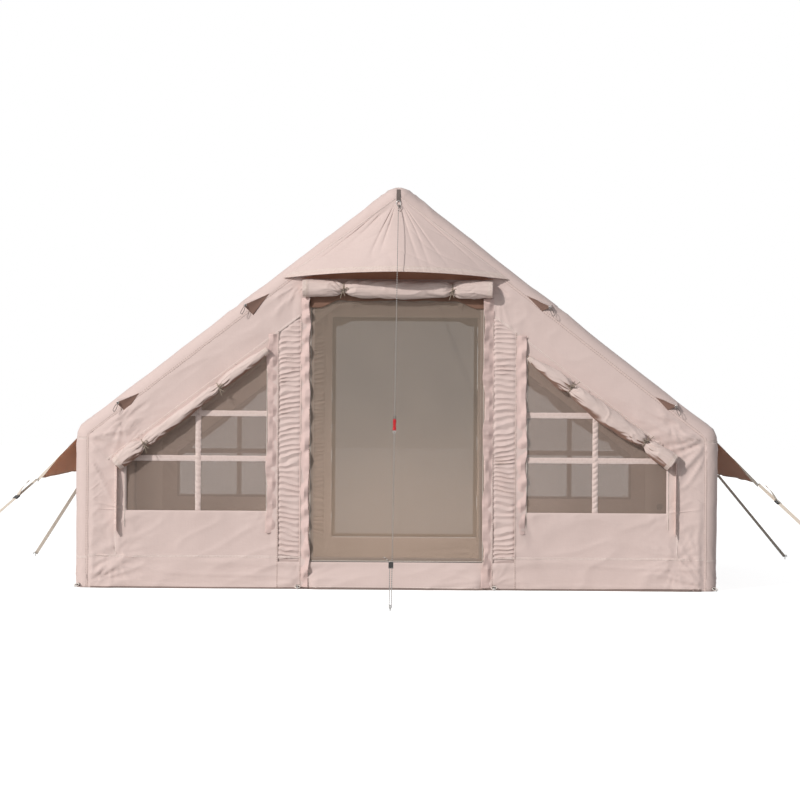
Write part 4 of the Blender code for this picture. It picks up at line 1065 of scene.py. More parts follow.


# Painted shade: the strip's dark colour stands for the shade along the ground line
foot_shade_paint = cloth_material("foot strip in painted shade", painted(112, 94, 88), painted(146, 126, 118), 0.5, 0.002)
for name, side in GABLES:
    x, up = np.meshgrid(np.linspace(-1.90, 1.90, 300), np.linspace(0, 1, 4), indexing="ij")
    tall = 0.0125 + 0.0045 * wander(x / 0.4, x * 0, 60 + side)
    y = side * (GABLE_Y + gable_relief(x, tall * up, side) + 0.0016 + 0.002 * (1 - up))
    points = np.stack([x, y, 0.0004 + tall * up], axis=-1)
    sheet_piece(f"{name}_foot_strip", points, [foot_shade_paint], slot="floor_cloth", facing=(0, side, 0))


# Groundsheet
# Welded sheet of dark coated cloth inside the walls, its corners rounded like theirs. It lies on the ground
# with slight wrinkles.

floor_cloth = cloth_material("dark coated floor cloth", painted(66, 64, 66), painted(92, 90, 92), 0.6, 0.002)
floor_half_x = HALF_WIDTH - SKIN_THICKNESS - 0.0008
floor_half_y = GABLE_Y - SKIN_THICKNESS - 0.0008
corner = EDGE_RADIUS - SKIN_THICKNESS - 0.0008


def floor_lines(half):
    """Grid lines across the floor, closer where the corners turn."""
    bend = np.linspace(0, corner, 7)[1:]
    middle = np.linspace(-half + corner, half - corner, 60)
    return np.concatenate([-half + corner - bend[::-1], middle, half - corner + bend])


# A corner's square of lines is drawn in to the quarter circle: x shrinks by 1 - sqrt(1 - y ** 2 / 2)
square_x, square_y = np.meshgrid(floor_lines(floor_half_x), floor_lines(floor_half_y), indexing="ij")
past_x = np.clip((np.abs(square_x) - floor_half_x + corner) / corner, 0, 1)
past_y = np.clip((np.abs(square_y) - floor_half_y + corner) / corner, 0, 1)
sheet_x = square_x - np.sign(square_x) * corner * past_x * (1 - np.sqrt(1 - past_y**2 / 2))
sheet_y = square_y - np.sign(square_y) * corner * past_y * (1 - np.sqrt(1 - past_x**2 / 2))
sheet_z = 0.0026 + 0.0006 * wander(sheet_x / 0.4, sheet_y / 0.3, 61)
points = np.stack([sheet_x, sheet_y, sheet_z], axis=-1)
ground = sheet_piece(
    "groundsheet_cloth", points, [floor_cloth], (0, 1), slot="floor_cloth", nodes=["groundsheet"],
    facing=(0, 0, 1)
)
thicken(ground, 0.0016, lined=False)


# Window meshes and their bars
# Brown polyester netting is sewn behind each window's opening. Folded strips of the tent's cloth, puckered
# by their stitches, are sewn over it as glazing bars.

# Cover = closed + (1 - closed) * thread, where thread is the larger of |cos(pi * across / pitch)| and the
# same along, ** 4
netting, netting_in, netting_out = group(
    "netting",
    {
        "Place": ("NodeSocketVector", None),
        "Pitch": ("NodeSocketFloat", 0.0016),
        "Closed": ("NodeSocketFloat", 0.5),
    },
    {"Cover": "NodeSocketFloat"},
)
net_axes = flow(netting, "ShaderNodeSeparateXYZ")
feed(netting, net_axes.inputs[0], netting_in.outputs["Place"])
net_waves = []
for axis in net_axes.outputs[:2]:
    turns = math_node(netting, "DIVIDE", axis, netting_in.outputs["Pitch"])
    turns = math_node(netting, "MULTIPLY", turns, math.pi)
    net_waves.append(math_node(netting, "ABSOLUTE", math_node(netting, "COSINE", turns)))
thread = math_node(netting, "POWER", math_node(netting, "MAXIMUM", *net_waves), 4.0)
closed = netting_in.outputs["Closed"]
cover = math_node(netting, "MULTIPLY_ADD", thread, math_node(netting, "SUBTRACT", 1.0, closed), closed)
feed(netting, netting_out.inputs["Cover"], cover)


def netting_material(name, dark, light, closed, painted_light_low=None):
    """Fine netting that is seen through: its threads hide what is behind it and its holes hide part.

    Below a metre it grows lighter and warmer towards the last colour, a painted light on the lower
    netting: its share is 1 at 0.25 m and 0 at 1.25 m.
    """
    made, tree, surface = new_material(name)
    place = coordinates(tree, "UV")
    threads = colour_between(tree, noise(tree, place, 2.4, 2.0), dark, light)
    # Painted light: the threads turn lighter and warmer towards the ground
    if painted_light_low is not None:
        threads = colour_between(tree, eased(tree, axis_of(tree, "Object", "Z"), 1.25, 0.25), threads, painted_light_low)
    shader = flow(tree, "ShaderNodeBsdfPrincipled", Roughness=0.75)
    feed(tree, shader.inputs["Base Color"], threads)
    feed(tree, shader.inputs["Alpha"], placed_group(tree, netting, place, Closed=closed).outputs["Cover"])
    feed(tree, surface, shader.outputs[0])
    return made


def window_head(x):
    """Height of the window's slanted edge."""
    return WINDOW_HIGH - (x - WINDOW_INNER) * SLANT


def window_bar(start, end, mirror, side, seed):
    """Puckered strip between two points (x, z) on a gable: points, faces and UVs.

    It stands up by |sin(along / pitch)| ** 0.8 * sqrt(cos across), most on an upright bar.
    """
    line = between(start, end, 0.003)
    run = distances(line)[:, None]
    ahead = unit(line[-1] - line[0])
    across = np.linspace(-0.49, 0.49, 9) * BAR_WIDTH
    edge = across * (1 + 0.05 * wander(run / 0.03, 0 * run, seed + 5))
    x, z = line[:, :1] - ahead[1] * edge, line[:, 1:] + ahead[0] * edge
    along = run + 0.5 * across * np.sign(ahead[1] - 0.5)
    pucker = (0.0012 + 0.0068 * abs(ahead[1])) * np.abs(np.sin(along * math.pi / 0.036)) ** 0.8
    pucker = pucker * (0.7 + 0.3 * wander(along / 0.05, across / 0.02 + along * 0, seed))
    pucker = pucker * np.cos(across / BAR_WIDTH * math.pi) ** 0.5
    body = 0.0012 * np.sin(np.linspace(0, math.pi, 9)) ** 0.5
    points = np.stack([mirror * x, side * (GABLE_Y - 0.0030 + body + pucker), z], axis=-1)
    return cloth_grid(points, across - across[0], run)


window_net = netting_material("window netting", painted(136, 119, 109), painted(154, 136, 125), 0.33)
BAR_WIDTH = 0.036
BAR_LINES = (
    ((WINDOW_INNER + 0.425, WINDOW_SILL - 0.008), (WINDOW_INNER + 0.425, 1.15)),
    ((WINDOW_INNER - 0.008, WINDOW_SILL + 0.325), (WINDOW_OUTER + 0.008, WINDOW_SILL + 0.325)),
    ((WINDOW_INNER - 0.008, WINDOW_SILL + 0.605), (WINDOW_INNER + 0.50, WINDOW_SILL + 0.605)),
)
NET_LAP = 0.018
net_width = WINDOW_OUTER - WINDOW_INNER + 2 * NET_LAP
for name, side in GABLES:
    for hand, mirror in HANDS:
        share_x, share_z = np.meshgrid(np.linspace(0, 1, 60), np.linspace(0, 1, 50), indexing="ij")
        x = WINDOW_INNER - NET_LAP + share_x * net_width
        low = WINDOW_SILL - NET_LAP
        z = low + share_z * (window_head(x) + NET_LAP - low)
        seed = 140 + 3 * mirror + side
        y = side * (GABLE_Y - 0.0042 + 0.0006 * wander(x / 0.12, z / 0.15, seed))
        net = sheet_piece(
            f"{name}_{hand}_window_netting", np.stack([mirror * x, y, z], axis=-1), [window_net],
            slot="mesh", nodes=[f"{name}_{hand}_window_mesh"], facing=(0, side, 0)
        )
        wall = f"{name}_wall_cloth"
        make_piece(
            f"{name}_{hand}_window_bar_cloth",
            *joined([window_bar(*ends, mirror, side, seed) for ends in BAR_LINES]),
            [seam_paint],
            slot="webbing",
            nodes=[f"{name}_{hand}_window_bars"],
            facing=(0, side, 0),
        )


# Mesh doors
# Each door is one leaf of the same netting with a bound edge, sewn along its head and zipped to the wall at
# both sides and the foot. Its tape and the half of the zip that is sewn to it move with it.

def zip_teeth(places, side):
    """Teeth of a zip, one block at each place in a row on a gable: points, faces and UVs of all of them."""
    long, wide, high = 0.0030, 0.0062, 0.0022
    ahead = unit(places[-1] - places[0])
    out = np.array((0.0, side, 0.0))
    corners = np.array(
        [(i, j, k) for k in (0, 1) for i, j in ((-1, -1), (1, -1), (1, 1), (-1, 1))], dtype=float
    )
    block = (
        ahead * corners[:, :1] * long / 2
        + np.cross(ahead, out) * corners[:, 1:2] * wide / 2
        + out * corners[:, 2:] * high
    )
    block_faces = np.array(
        [(3, 2, 1, 0), (4, 5, 6, 7), (0, 1, 5, 4), (1, 2, 6, 5), (2, 3, 7, 6), (3, 0, 4, 7)]
    )
    faces = (block_faces[None] + 8 * np.arange(len(places))[:, None, None]).reshape(-1, 4)
    return places[:, None, :] + block, faces, np.zeros((len(faces), 4, 2))


def noisy_paint(name, dark, light, tone, relief=None, **values):
    """Plain material whose colour drifts between two tones; tone is the (scale, detail) of its noise.

    relief is the (scale, detail, distance, strength) of a second noise that stands up from the surface.
    """
    made, tree, surface = new_material(name)
    place = coordinates(tree, "Object")
    colour = colour_between(tree, noise(tree, place, *tone), dark, light)
    normal = bumped(tree, noise(tree, place, *relief[:2]), *relief[2:]) if relief else None
    principled(tree, surface, colour, normal, **values)
    return made


# The door netting's last colour is painted light on its lower part
door_net = netting_material(
    "door netting", painted(114, 102, 91), painted(134, 120, 107), 0.38, painted(150, 131, 115)
)
tape_paint = seam_material(
    "zip tape", painted(128, 112, 101), painted(158, 141, 129), painted(180, 165, 154), 0.014, 0.009
)
zip_paint = noisy_paint(
    "pale moulded zip teeth", painted(226, 214, 204), painted(246, 238, 230), (180.0, 1.0), Roughness=0.42
)
ZIP_PITCH = 0.0052
DOOR_GAP = 0.003
TAPE_WIDTH = 0.026
leaf_half = DOOR_HALF - DOOR_GAP
leaf_low, leaf_high = DOOR_SILL + DOOR_GAP, DOOR_HEAD - DOOR_GAP
# Lines of the tape round the leaf as (x, z) pairs, with the direction in which its width runs
LEAF_EDGES = (
    ((-leaf_half, leaf_low), (-leaf_half, leaf_high), (1, 0)),
    ((leaf_half, leaf_low), (leaf_half, leaf_high), (-1, 0)),
    ((-leaf_half, leaf_low), (leaf_half, leaf_low), (0, 1)),
    ((-leaf_half, leaf_high), (leaf_half, leaf_high), (0, -1)),
)
zip_x, zip_top = leaf_half - 0.004, leaf_high - 0.03
LEAF_ZIPS = (
    ((-zip_x, leaf_low), (-zip_x, zip_top)),
    ((zip_x, leaf_low), (zip_x, zip_top)),
    ((-leaf_half, leaf_low + 0.004), (leaf_half, leaf_low + 0.004)),
)
for name, side in GABLES:
    body = f"{name}_mesh_door"
    x, z = np.meshgrid(
        np.linspace(-leaf_half, leaf_half, 60), np.linspace(leaf_low, leaf_high, 90), indexing="ij"
    )
    edge = smooth(0, 0.12, leaf_half - np.abs(x))
    edge = edge * smooth(0, 0.12, z - leaf_low) * smooth(0, 0.12, leaf_high - z)
    billow = (0.0035 * wander(x / 0.35, z / 0.4, 171 + side) - 0.003) * edge
    points = np.stack([x, side * (GABLE_Y - 0.0014 + billow), z], axis=-1)
    leaf = sheet_piece(
        f"{name}_door_netting", points, [door_net], body=body, slot="mesh", nodes=[body],
        facing=(0, side, 0)
    )
    bound = []
    across = np.linspace(0, 1, 5)
    for start, end, inward in LEAF_EDGES:
        line = between(start, end, 0.012)
        run = distances(line)[:, None]
        x, z = (line[:, i, None] + inward[i] * TAPE_WIDTH * across for i in (0, 1))
        rise = 0.0006 * np.sin(across * math.pi) + 0.0003 * wander(run / 0.02, across, 177)
        points = np.stack([x, side * (GABLE_Y - 0.0010 + rise), z], axis=-1)
        bound.append(cloth_grid(points, TAPE_WIDTH * across, run))
    edge_tape = make_piece(
        f"{name}_door_edge_tape", *joined(bound), [tape_paint], body=body, slot="webbing",
        facing=(0, side, 0)
    )
    wall = f"{name}_wall_cloth"
    zips = []
    for ends in LEAF_ZIPS:
        line = between(*ends, ZIP_PITCH)
        y = np.full(len(line), side * (GABLE_Y - 0.0008))
        zips.append(zip_teeth(np.column_stack([line[:, 0], y, line[:, 1]]), side))
    make_piece(f"{name}_door_zip_teeth", *joined(zips), [zip_paint], body=body, slot="plastic")


# Storm flaps
# Strips of cloth sewn beside the zips of the doors and the windows to keep rain off them. Their free edges
# curl and crumple, and the windows' flaps end in points below the sills.

def storm_flap(sewn, free, low, high, side, seed, crumple, lean, point=0.0):
    """A strip from its sewn edge to its free one: it lifts, leans out and crumples towards the free edge.

    Its facets are straight between knots on the sewn edge, the middle and the free edge, the middle's knots
    lying between the others. The lower end slants down by point towards the middle of the strip.
    """
    rows = max(30, int((high - low) / 0.006))
    share, z_share = np.meshgrid(np.linspace(0, 1, 17), np.linspace(0, 1, rows), indexing="xy")
    tip = low + point * np.abs(share - 0.72) / 0.72
    z = tip + (high - tip) * z_share
    waver = 0.16 * wander(z / 0.11, share * 0, seed + 1) * smooth(0.3, 1, share)
    x = sewn + (free - sewn) * share + (free - sewn) * waver
    random = np.random.default_rng(seed)
    knots = np.cumsum(random.uniform(0.035, 0.095, 60)) - 0.1
    odd = np.arange(60) % 2
    free_lift = np.interp(z, knots, odd * random.uniform(0.4, 1.0, 60))
    middle_lift = np.interp(z, knots + 0.030, (1 - odd) * random.uniform(0.3, 0.9, 60))
    outer = (2 - 2 * share) * middle_lift + (2 * share - 1) * free_lift
    facets = np.where(share < 0.5, 2 * share * middle_lift, outer)
    fine = wander(z / 0.03, share * 2, seed + 2) * smooth(0, 0.4, share)
    lift = 0.0016 + share * (lean + 0.016 * smooth(1.66, 1.75, z)) + crumple * (facets - 0.15 + 0.12 * fine)
    lift = np.maximum(lift, 0.0012)
    y = side * (GABLE_Y + lift + 0.6 * gable_relief(x, z, side) * (1 - share))
    return cloth_grid(np.stack([x, y, z], axis=-1), share * math.hypot(free - sewn, lean), z)


flap_cloth = cloth_material(
    "crumpled flap cloth", painted(204, 177, 170), painted(230, 204, 198), 0.4, 0.004
)
for name, side in GABLES:
    for hand, mirror in HANDS:
        seed = 200 + 10 * mirror + 3 * side
        lean = 0.042 if mirror < 0 else 0.032
        # Width and length of each flap and the share of them that is cloth, then its edges, ends and folds
        for label, wide, long, full, sewn, free, low, high, *folds in (
            ("door", 0.064, 1.80, 1.0, 0.604, 0.540, 0.012, 1.812, seed, 0.030, 0.010),
            ("window_inner", 0.068, 1.24, 0.98, 0.740, 0.806, 0.345, 1.585, seed + 4, 0.027, 0.006, 0.012),
            ("window_outer", lean + 0.001, 0.46, 0.97, 1.742, 1.736, 0.335, 0.8, seed + 7, 0.006, lean, 0.03),
        ):
            flap = make_piece(
                f"{name}_{hand}_{label}_flap",
                *storm_flap(mirror * sewn, mirror * free, low, high, side, *folds),
                [flap_cloth, lining_paint], slot="cloth", facing=(0, side, 0)
            )
            thicken(flap, 0.0012, even=False)
            wall = f"{name}_wall_cloth"


# Window zips
# A moulded zip of the same pale teeth runs down the inner and the outer edge of each window. It lies between
# the netting and the storm flap, so it shows where the flap stands off.

WINDOW_ZIPS = ((WINDOW_INNER - 0.002, WINDOW_HIGH - 0.01), (WINDOW_OUTER + 0.012, 0.80))
for name, side in GABLES:
    zips = []
    for mirror in (-1, 1):
        for x, high in WINDOW_ZIPS:
            line = between((mirror * x, WINDOW_SILL - 0.10), (mirror * x, high), ZIP_PITCH)
            zips.append(zip_teeth(gable_point(line[:, 0], line[:, 1], side, 0.0001), side))
    make_piece(f"{name}_window_zip_teeth", *joined(zips), [zip_paint], slot="plastic")


# Rolled covers
# The cloth door is rolled up above the mesh door and each window cover along the window's slanted edge. Two
# ties with toggles squeeze each roll, and the folds run out from them.

def roll_surface(start, end, radius, ties, shape, seed, flatness, rows=230, columns=72):
    """Centres, section and place of a rolled cloth that two ties squeeze.

    radius * shape along it * (1 - squeeze) * (1 - pleats + wraps + ripple): pleats are narrow valleys along
    the roll, (1 - |sin|) ** 1.5, deep beside the ties; wraps are narrow ridges that wind round it.
    """
    start, end = np.array(start, dtype=float), np.array(end, dtype=float)
    along = np.linspace(0, 1, rows)
    length = np.linalg.norm(end - start)
    place = along * length
    run = place[:, None]
    wide = np.interp(along, *zip(*shape))
    for _ in range(30):
        wide[1:-1] = (wide[:-2] + 2 * wide[1:-1] + wide[2:]) / 4
    turn = np.linspace(0, 2 * math.pi, columns, endpoint=False)
    level, stand = np.cos(turn), np.sin(turn)
    squeeze, near = np.zeros((rows, 1)), np.zeros((rows, 1))
    for tie, depth in ties:
        from_tie = run - tie
        tight, slack = (np.exp(-((from_tie / width) ** 2)) for width in (0.026, 0.07))
        squeeze += depth * tight + 0.25 * depth * slack
        near += np.exp(-np.abs(from_tie) / 0.060)
    near = np.minimum(near, 1)
    drift = 2.4 * wander(run / 0.085, run * 0, seed + 1)
    other = 2.0 * wander(run / 0.06, run * 0 + 3, seed + 2)
    pleats = 0.42 * (1 - np.abs(np.sin(4.5 * turn + drift))) ** 1.5
    pleats = pleats + 0.30 * (1 - np.abs(np.sin(3.0 * turn + other))) ** 2
    uneven = 0.7 + 0.6 * wander(run / 0.05 + 2 * level, 2 * stand + 9, seed + 4)
    wraps = creases(run / 0.095 + 1.2 * level, 1.2 * stand + 7, seed + 5)
    ripple = 0.05 * wander(run / 0.06 + 1.5 * level, 1.5 * stand + 5, seed + 3)
    lap = 0.05 * turn / (2 * math.pi)
    rough = 0.05 + 0.09 * near
    body = 1 - near * pleats * uneven + rough * (wraps - 0.4) * 2 + ripple + lap
    r = radius * wide[:, None] * (1 - squeeze) * body
    centres = start + (end - start) * along[:, None]
    held = np.sin(math.pi * np.clip((place - ties[0][0]) / (ties[1][0] - ties[0][0]), 0, 1))
    centres[:, 2] += -0.006 * held + 0.003 * wander(place / 0.13, place * 0, seed + 6)
    section = np.stack([r * level * flatness, r * stand], axis=-1)
    return centres, section, place


def roll_end(centre, ring, outwards, layers=5):
    """Spiral of the cloth's layers at a roll's end: rings that shrink and step in and out."""
    columns = len(ring)
    shares = np.linspace(1, 0.04, 22)[:, None]
    turn = np.linspace(0, 1, columns, endpoint=False)
    spiral = (shares * layers + turn) % 1.0
    depth = 0.007 * (np.abs(spiral - 0.5) * 2) ** 0.6 - 0.012 * (1 - shares) ** 0.7 - 0.004
    depth = depth * smooth(0, 0.12, 1 - shares)
    points = centre + (ring[None] - centre) * shares[..., None] + outwards * depth[..., None]
    faces, places = grid(len(shares), columns, closed=True)
    uv = np.stack([places[..., 1] * 0.008, places[..., 0] * 0.002], axis=-1)
    return points, faces, uv


def make_roll(name, start, end, radius, ties, shape, seed, side, node, cloth, flatness):
    """A rolled cover with its spiral ends, as one closed shell, and the stitched hems at its ends.

    Gives its rings of points, their centres, and the directions along it, out from the gable and up.
    """
    centres, section, place = roll_surface(start, end, radius, ties, shape, seed, flatness)
    ahead = unit(np.array(end, dtype=float) - np.array(start, dtype=float))
    out = np.array((0.0, side, 0.0))
    up = np.cross(out, ahead)
    points, faces, uv, _ = sweep(centres, out, up, section)
    parts = [(points, faces, uv)]
    for row, outwards in ((0, -ahead), (-1, ahead)):
        parts.append(roll_end(centres[row], points[row], outwards))
    made = make_piece(name, *joined(parts), [cloth], slot="cloth", nodes=[node])
    shell = bmesh.new()
    shell.from_mesh(made.data)
    bmesh.ops.remove_doubles(shell, verts=shell.verts, dist=0.00001)
    bmesh.ops.holes_fill(shell, edges=shell.edges, sides=len(points[0]))
    bmesh.ops.recalc_face_normals(shell, faces=shell.faces)
    shell.to_mesh(made.data)
    shell.free()
    hems = []
    for rows in (slice(1, 8), slice(-8, -1)):
        band = points[rows] + unit(points[rows] - centres[rows][:, None]) * 0.0011
        band_faces, band_places = grid(*band.shape[:2], closed=True)
        band_uv = np.stack([place[:7][band_places[..., 0]], band_places[..., 1] * 0.005], axis=-1)
        hems.append((band, band_faces, band_uv))
    make_piece(f"{name}_hems", *joined(hems), [roll_hem], slot="cloth")
    return points, centres, ahead, out, up


def capsule(centre, ahead, length, radius, rows=9, columns=12):
    """A toggle's points, faces and UVs, and its end caps: a barrel with rounded ends and a waist.

    Its radius at a share from -1 to 1 is radius * sqrt(1.03 - share ** 6), less a bell-shaped quarter at 0.
    """
    share = np.linspace(-1, 1, rows)
    width = radius * np.sqrt(np.clip(1.03 - share**6, 0, 1)) * (1 - 0.25 * np.exp(-((share / 0.18) ** 2)))
    side = unit(np.cross(ahead, (0.3, 0.2, 1.0)))
    turn = np.linspace(0, 2 * math.pi, columns, endpoint=False)
    points = centre + ahead * share[:, None, None] * length / 2
    points = points + width[:, None, None] * ring_around(side, np.cross(side, ahead), turn)
    faces, places = grid(rows, columns, closed=True)
    uv = np.stack([places[..., 1] * 0.002, places[..., 0] * 0.002], axis=-1)
    return (points, faces, uv), end_caps(rows, columns)


def eased_line(points, count):
    """A line through a few points with rounded corners: straight runs, averaged six times."""
    points = np.asarray(points, dtype=float)
    t = np.linspace(0, len(points) - 1, count)
    line = np.stack([np.interp(t, range(len(points)), column) for column in points.T], axis=-1)
    for _ in range(6):
        line[1:-1] = (line[:-2] + 2 * line[1:-1] + line[2:]) / 4
    return line


def make_tie(name, points, centres, ahead, out, up, row):
    """A cord loop round a roll where it is squeezed, its toggle and two short ends that hang from it."""
    spoke = points[row] - centres[row]
    reach = np.linalg.norm(spoke, axis=-1)
    for _ in range(12):
        reach = np.maximum(reach, (np.roll(reach, 1) + np.roll(reach, -1)) / 2 * 0.995)
    ring = centres[row] + unit(spoke) * (reach + 0.0015)[:, None]
    ring = np.concatenate([ring, ring[:1]])
    lean = ahead * 0.004 * np.sin(np.linspace(0, 2 * math.pi, len(ring)))[:, None]
    parts = [tube(ring + lean, 0.0026), tube(ring - lean + ahead * 0.006, 0.0026)]
    front = centres[row] + out * (np.abs((points[row] - centres[row]) @ out).max() + 0.006) - up * 0.014
    for drift, drop in ((-0.016, 0.050), (0.012, 0.036)):
        end = front + ahead * drift - up * drop + out * 0.004
        bend = front + out * 0.006 - up * 0.012 + ahead * drift * 0.3
        parts.append(tube(eased_line([front, bend, end + out * 0.004, end], 14), 0.0022))
    loop = [(0, 0, 0), (0.020, 0.020, 0.004), (0.012, 0.036, 0), (-0.004, 0.016, 0), (0, 0, 0)]
    loop = [front + up * a + ahead * b + out * c for a, b, c in loop]
    parts.append(tube(eased_line(loop, 22), 0.0022))
    make_piece(f"{name}_cord", *joined(parts), [tie_cord], slot="cord")
    toggle, caps = capsule(front, unit(ahead * 0.85 + up * 0.5), 0.034, 0.0062)
    make_piece(f"{name}_toggle", *toggle, [toggle_paint], slot="plastic", caps=caps)


roll_tones = (painted(206, 184, 176), painted(232, 213, 206))
roll_cloth = cloth_material("rolled cover cloth", *roll_tones, 0.4, 0.005)
# The window covers' under colour is painted shade along their lower side
cover_cloth_shaded_below = cloth_material("window cover cloth, painted shade below", *roll_tones, 0.4, 0.005, painted(138, 102, 86))
roll_hem = seam_material(
    "hem of the rolled covers", painted(200, 179, 169), painted(232, 213, 204), painted(250, 240, 234),
    0.010, 0.004
)
tie_cord = cloth_material("beige tie cord", painted(120, 104, 90), painted(190, 172, 154), 0.8, 0.001)
toggle_paint = noisy_paint(
    "dull brown toggle plastic", painted(84, 72, 62), painted(112, 98, 86), (90.0, 2.0), Roughness=0.45
)

DOOR_ROLL_HALF = 0.590
DOOR_ROLL_HEIGHT = 1.8678
DOOR_ROLL_RADIUS = 0.053
DOOR_ROLL_Y = GABLE_Y + 0.0490
DOOR_TIES = ((DOOR_ROLL_HALF - 0.335, 0.30), (DOOR_ROLL_HALF + 0.335, 0.34))
DOOR_SHAPE = ((0, 0.92), (0.1, 1.0), (0.3, 0.98), (0.5, 1.0), (0.75, 0.98), (0.88, 1.04), (1, 0.96))
COVER_RADIUS = 0.050
# Width along the covers from the low end, as a share of the radius: fat on the right, slim on the left
COVER_SHAPES = {
    1: (
        (0, 1.16), (0.12, 1.10), (0.30, 1.0), (0.42, 1.14), (0.55, 1.10),
        (0.68, 0.96), (0.80, 0.90), (0.90, 0.66), (1, 0.24),
    ),
    -1: (
        (0, 0.80), (0.06, 1.0), (0.13, 1.0), (0.22, 0.78), (0.40, 0.68),
        (0.55, 0.66), (0.68, 0.68), (0.80, 0.72), (0.90, 0.66), (1, 0.36),
    ),
}
COVER_TIES = {1: (0.19, 0.705), -1: (0.185, 0.675)}
COVER_Y = {1: GABLE_Y + 0.0460, -1: GABLE_Y + 0.0400}
# Ends of the covers, out from the window's outer and inner edge and up from its head
COVER_ENDS = {1: ((0.036, 0.030), (0.002, -0.016)), -1: ((0.066, 0.028), (-0.008, 0.013))}
LAST_RING = 229
for name, side in GABLES:
    seed = 300 + side
    ends = [(x, side * DOOR_ROLL_Y, DOOR_ROLL_HEIGHT) for x in (-DOOR_ROLL_HALF, DOOR_ROLL_HALF)]
    node = f"{name}_door_roll"
    values = (*ends, DOOR_ROLL_RADIUS, DOOR_TIES, DOOR_SHAPE, seed, side, node, roll_cloth)
    rolled = make_roll(f"{name}_rolled_door", *values, flatness=0.80)
    for hand, (tie, _) in zip(("left", "right"), DOOR_TIES):
        make_tie(f"{name}_door_{hand}_tie", *rolled, round(tie / (2 * DOOR_ROLL_HALF) * LAST_RING))
    for hand, mirror in HANDS:
        ends = []
        for edge, (past, over) in zip((WINDOW_OUTER, WINDOW_INNER), COVER_ENDS[mirror]):
            ends.append((mirror * (edge + past), side * COVER_Y[mirror], window_head(edge + past) + over))
        length = float(np.linalg.norm(np.array(ends[1]) - np.array(ends[0])))
        low_tie, high_tie = COVER_TIES[mirror]
        ties = ((low_tie * length, 0.36), (high_tie * length, 0.30))
        node = f"{name}_{hand}_cover_roll"
        values = (*ends, COVER_RADIUS, ties, COVER_SHAPES[mirror], seed + 20 * mirror, side, node)
        rolled = make_roll(f"{name}_{hand}_rolled_cover", *values, cover_cloth_shaded_below, flatness=0.86)
        for label, tie in (("low", low_tie), ("high", high_tie)):
            make_tie(f"{name}_{hand}_cover_{label}_tie", *rolled, round(tie * LAST_RING))


# Hoods
# A cone-like canopy of the tent's cloth stands out over each door. It is sewn along both roof edges from the
# apex down, lined in brown, and its bowed hem is turned up and stitched.

HOOD_TOP = RIDGE_HEIGHT - 0.10
HOOD_HEM = 1.9348
HOOD_HALF = (roof_height(0, 0.055) - HOOD_HEM) / math.tan(ROOF_ANGLE)


def hood_point(side, across, down, lift=0.0):
    """Point of a hood, across from -1 to 1 between its sewn sides and down from the apex to the hem.

    It stands 0.25 * down**1.6 * crown off the gable, where crown falls from 1 in the middle to 0 at the
    sides with a slight ridge in the middle, less the hollows of wrinkles that fan out from the apex and hang
    from the sides.
    """
    across, down = np.broadcast_arrays(np.asarray(across, dtype=float), np.asarray(down, dtype=float))
    crown = 1 - 0.62 * across**2 - 0.38 * np.abs(across) ** 1.1
    crown = np.maximum(crown, 0)
    seed = 400 + side
    held = smooth(0, 0.12, 1 - np.abs(across))
    drift = across + 0.02 * wander(down * 2.5, across * 3, seed)
    fan = creases(drift * 7.5, down * 0.7, seed + 1, 5) * smooth(0.06, 0.25, down)
    fan = fan * (1 - 0.5 * smooth(0.6, 0.95, down)) * np.where(across * side < 0, 0.55, 1.0)
    side_pulls = creases((down - 0.5 * np.abs(across)) * 5, across * 1.5 + 4, seed + 2, 5)
    side_pulls = side_pulls * smooth(0.3, 0.6, down)
    ripple = wander(across * 3, down * 3, seed + 3)
    hem = smooth(0.86, 1.0, down) * creases(across * 9, down * 3, seed + 4, 3)
    depths = 0.009 * fan + 0.004 * side_pulls + 0.004 * (1 + ripple) + 0.004 * hem
    hollow = held * smooth(0.03, 0.2, down) * depths
    half = 0.02 + (HOOD_HALF - 0.02) * down
    x = across * half * (1 + 0.035 * down * (across < 0))
    z = HOOD_TOP + (HOOD_HEM - HOOD_TOP) * down + 0.03 * down * (1 - across**2)
    stand = 0.25 * down**1.6 * crown
    y = GABLE_Y + 0.0033 + stand + lift - np.minimum(hollow, 0.225 * down**1.6 * crown)
    return np.stack([x, side * y, z], axis=-1)


HEM_DEPTH = 0.080
SIDE_SEAM = 0.016


def swelling(count, low, high, power=1.0):
    """Heights across a sewn band: low at its edges, low + high in its middle, by a power of a sine."""
    return low + high * np.sin(np.linspace(0, math.pi, count)) ** power


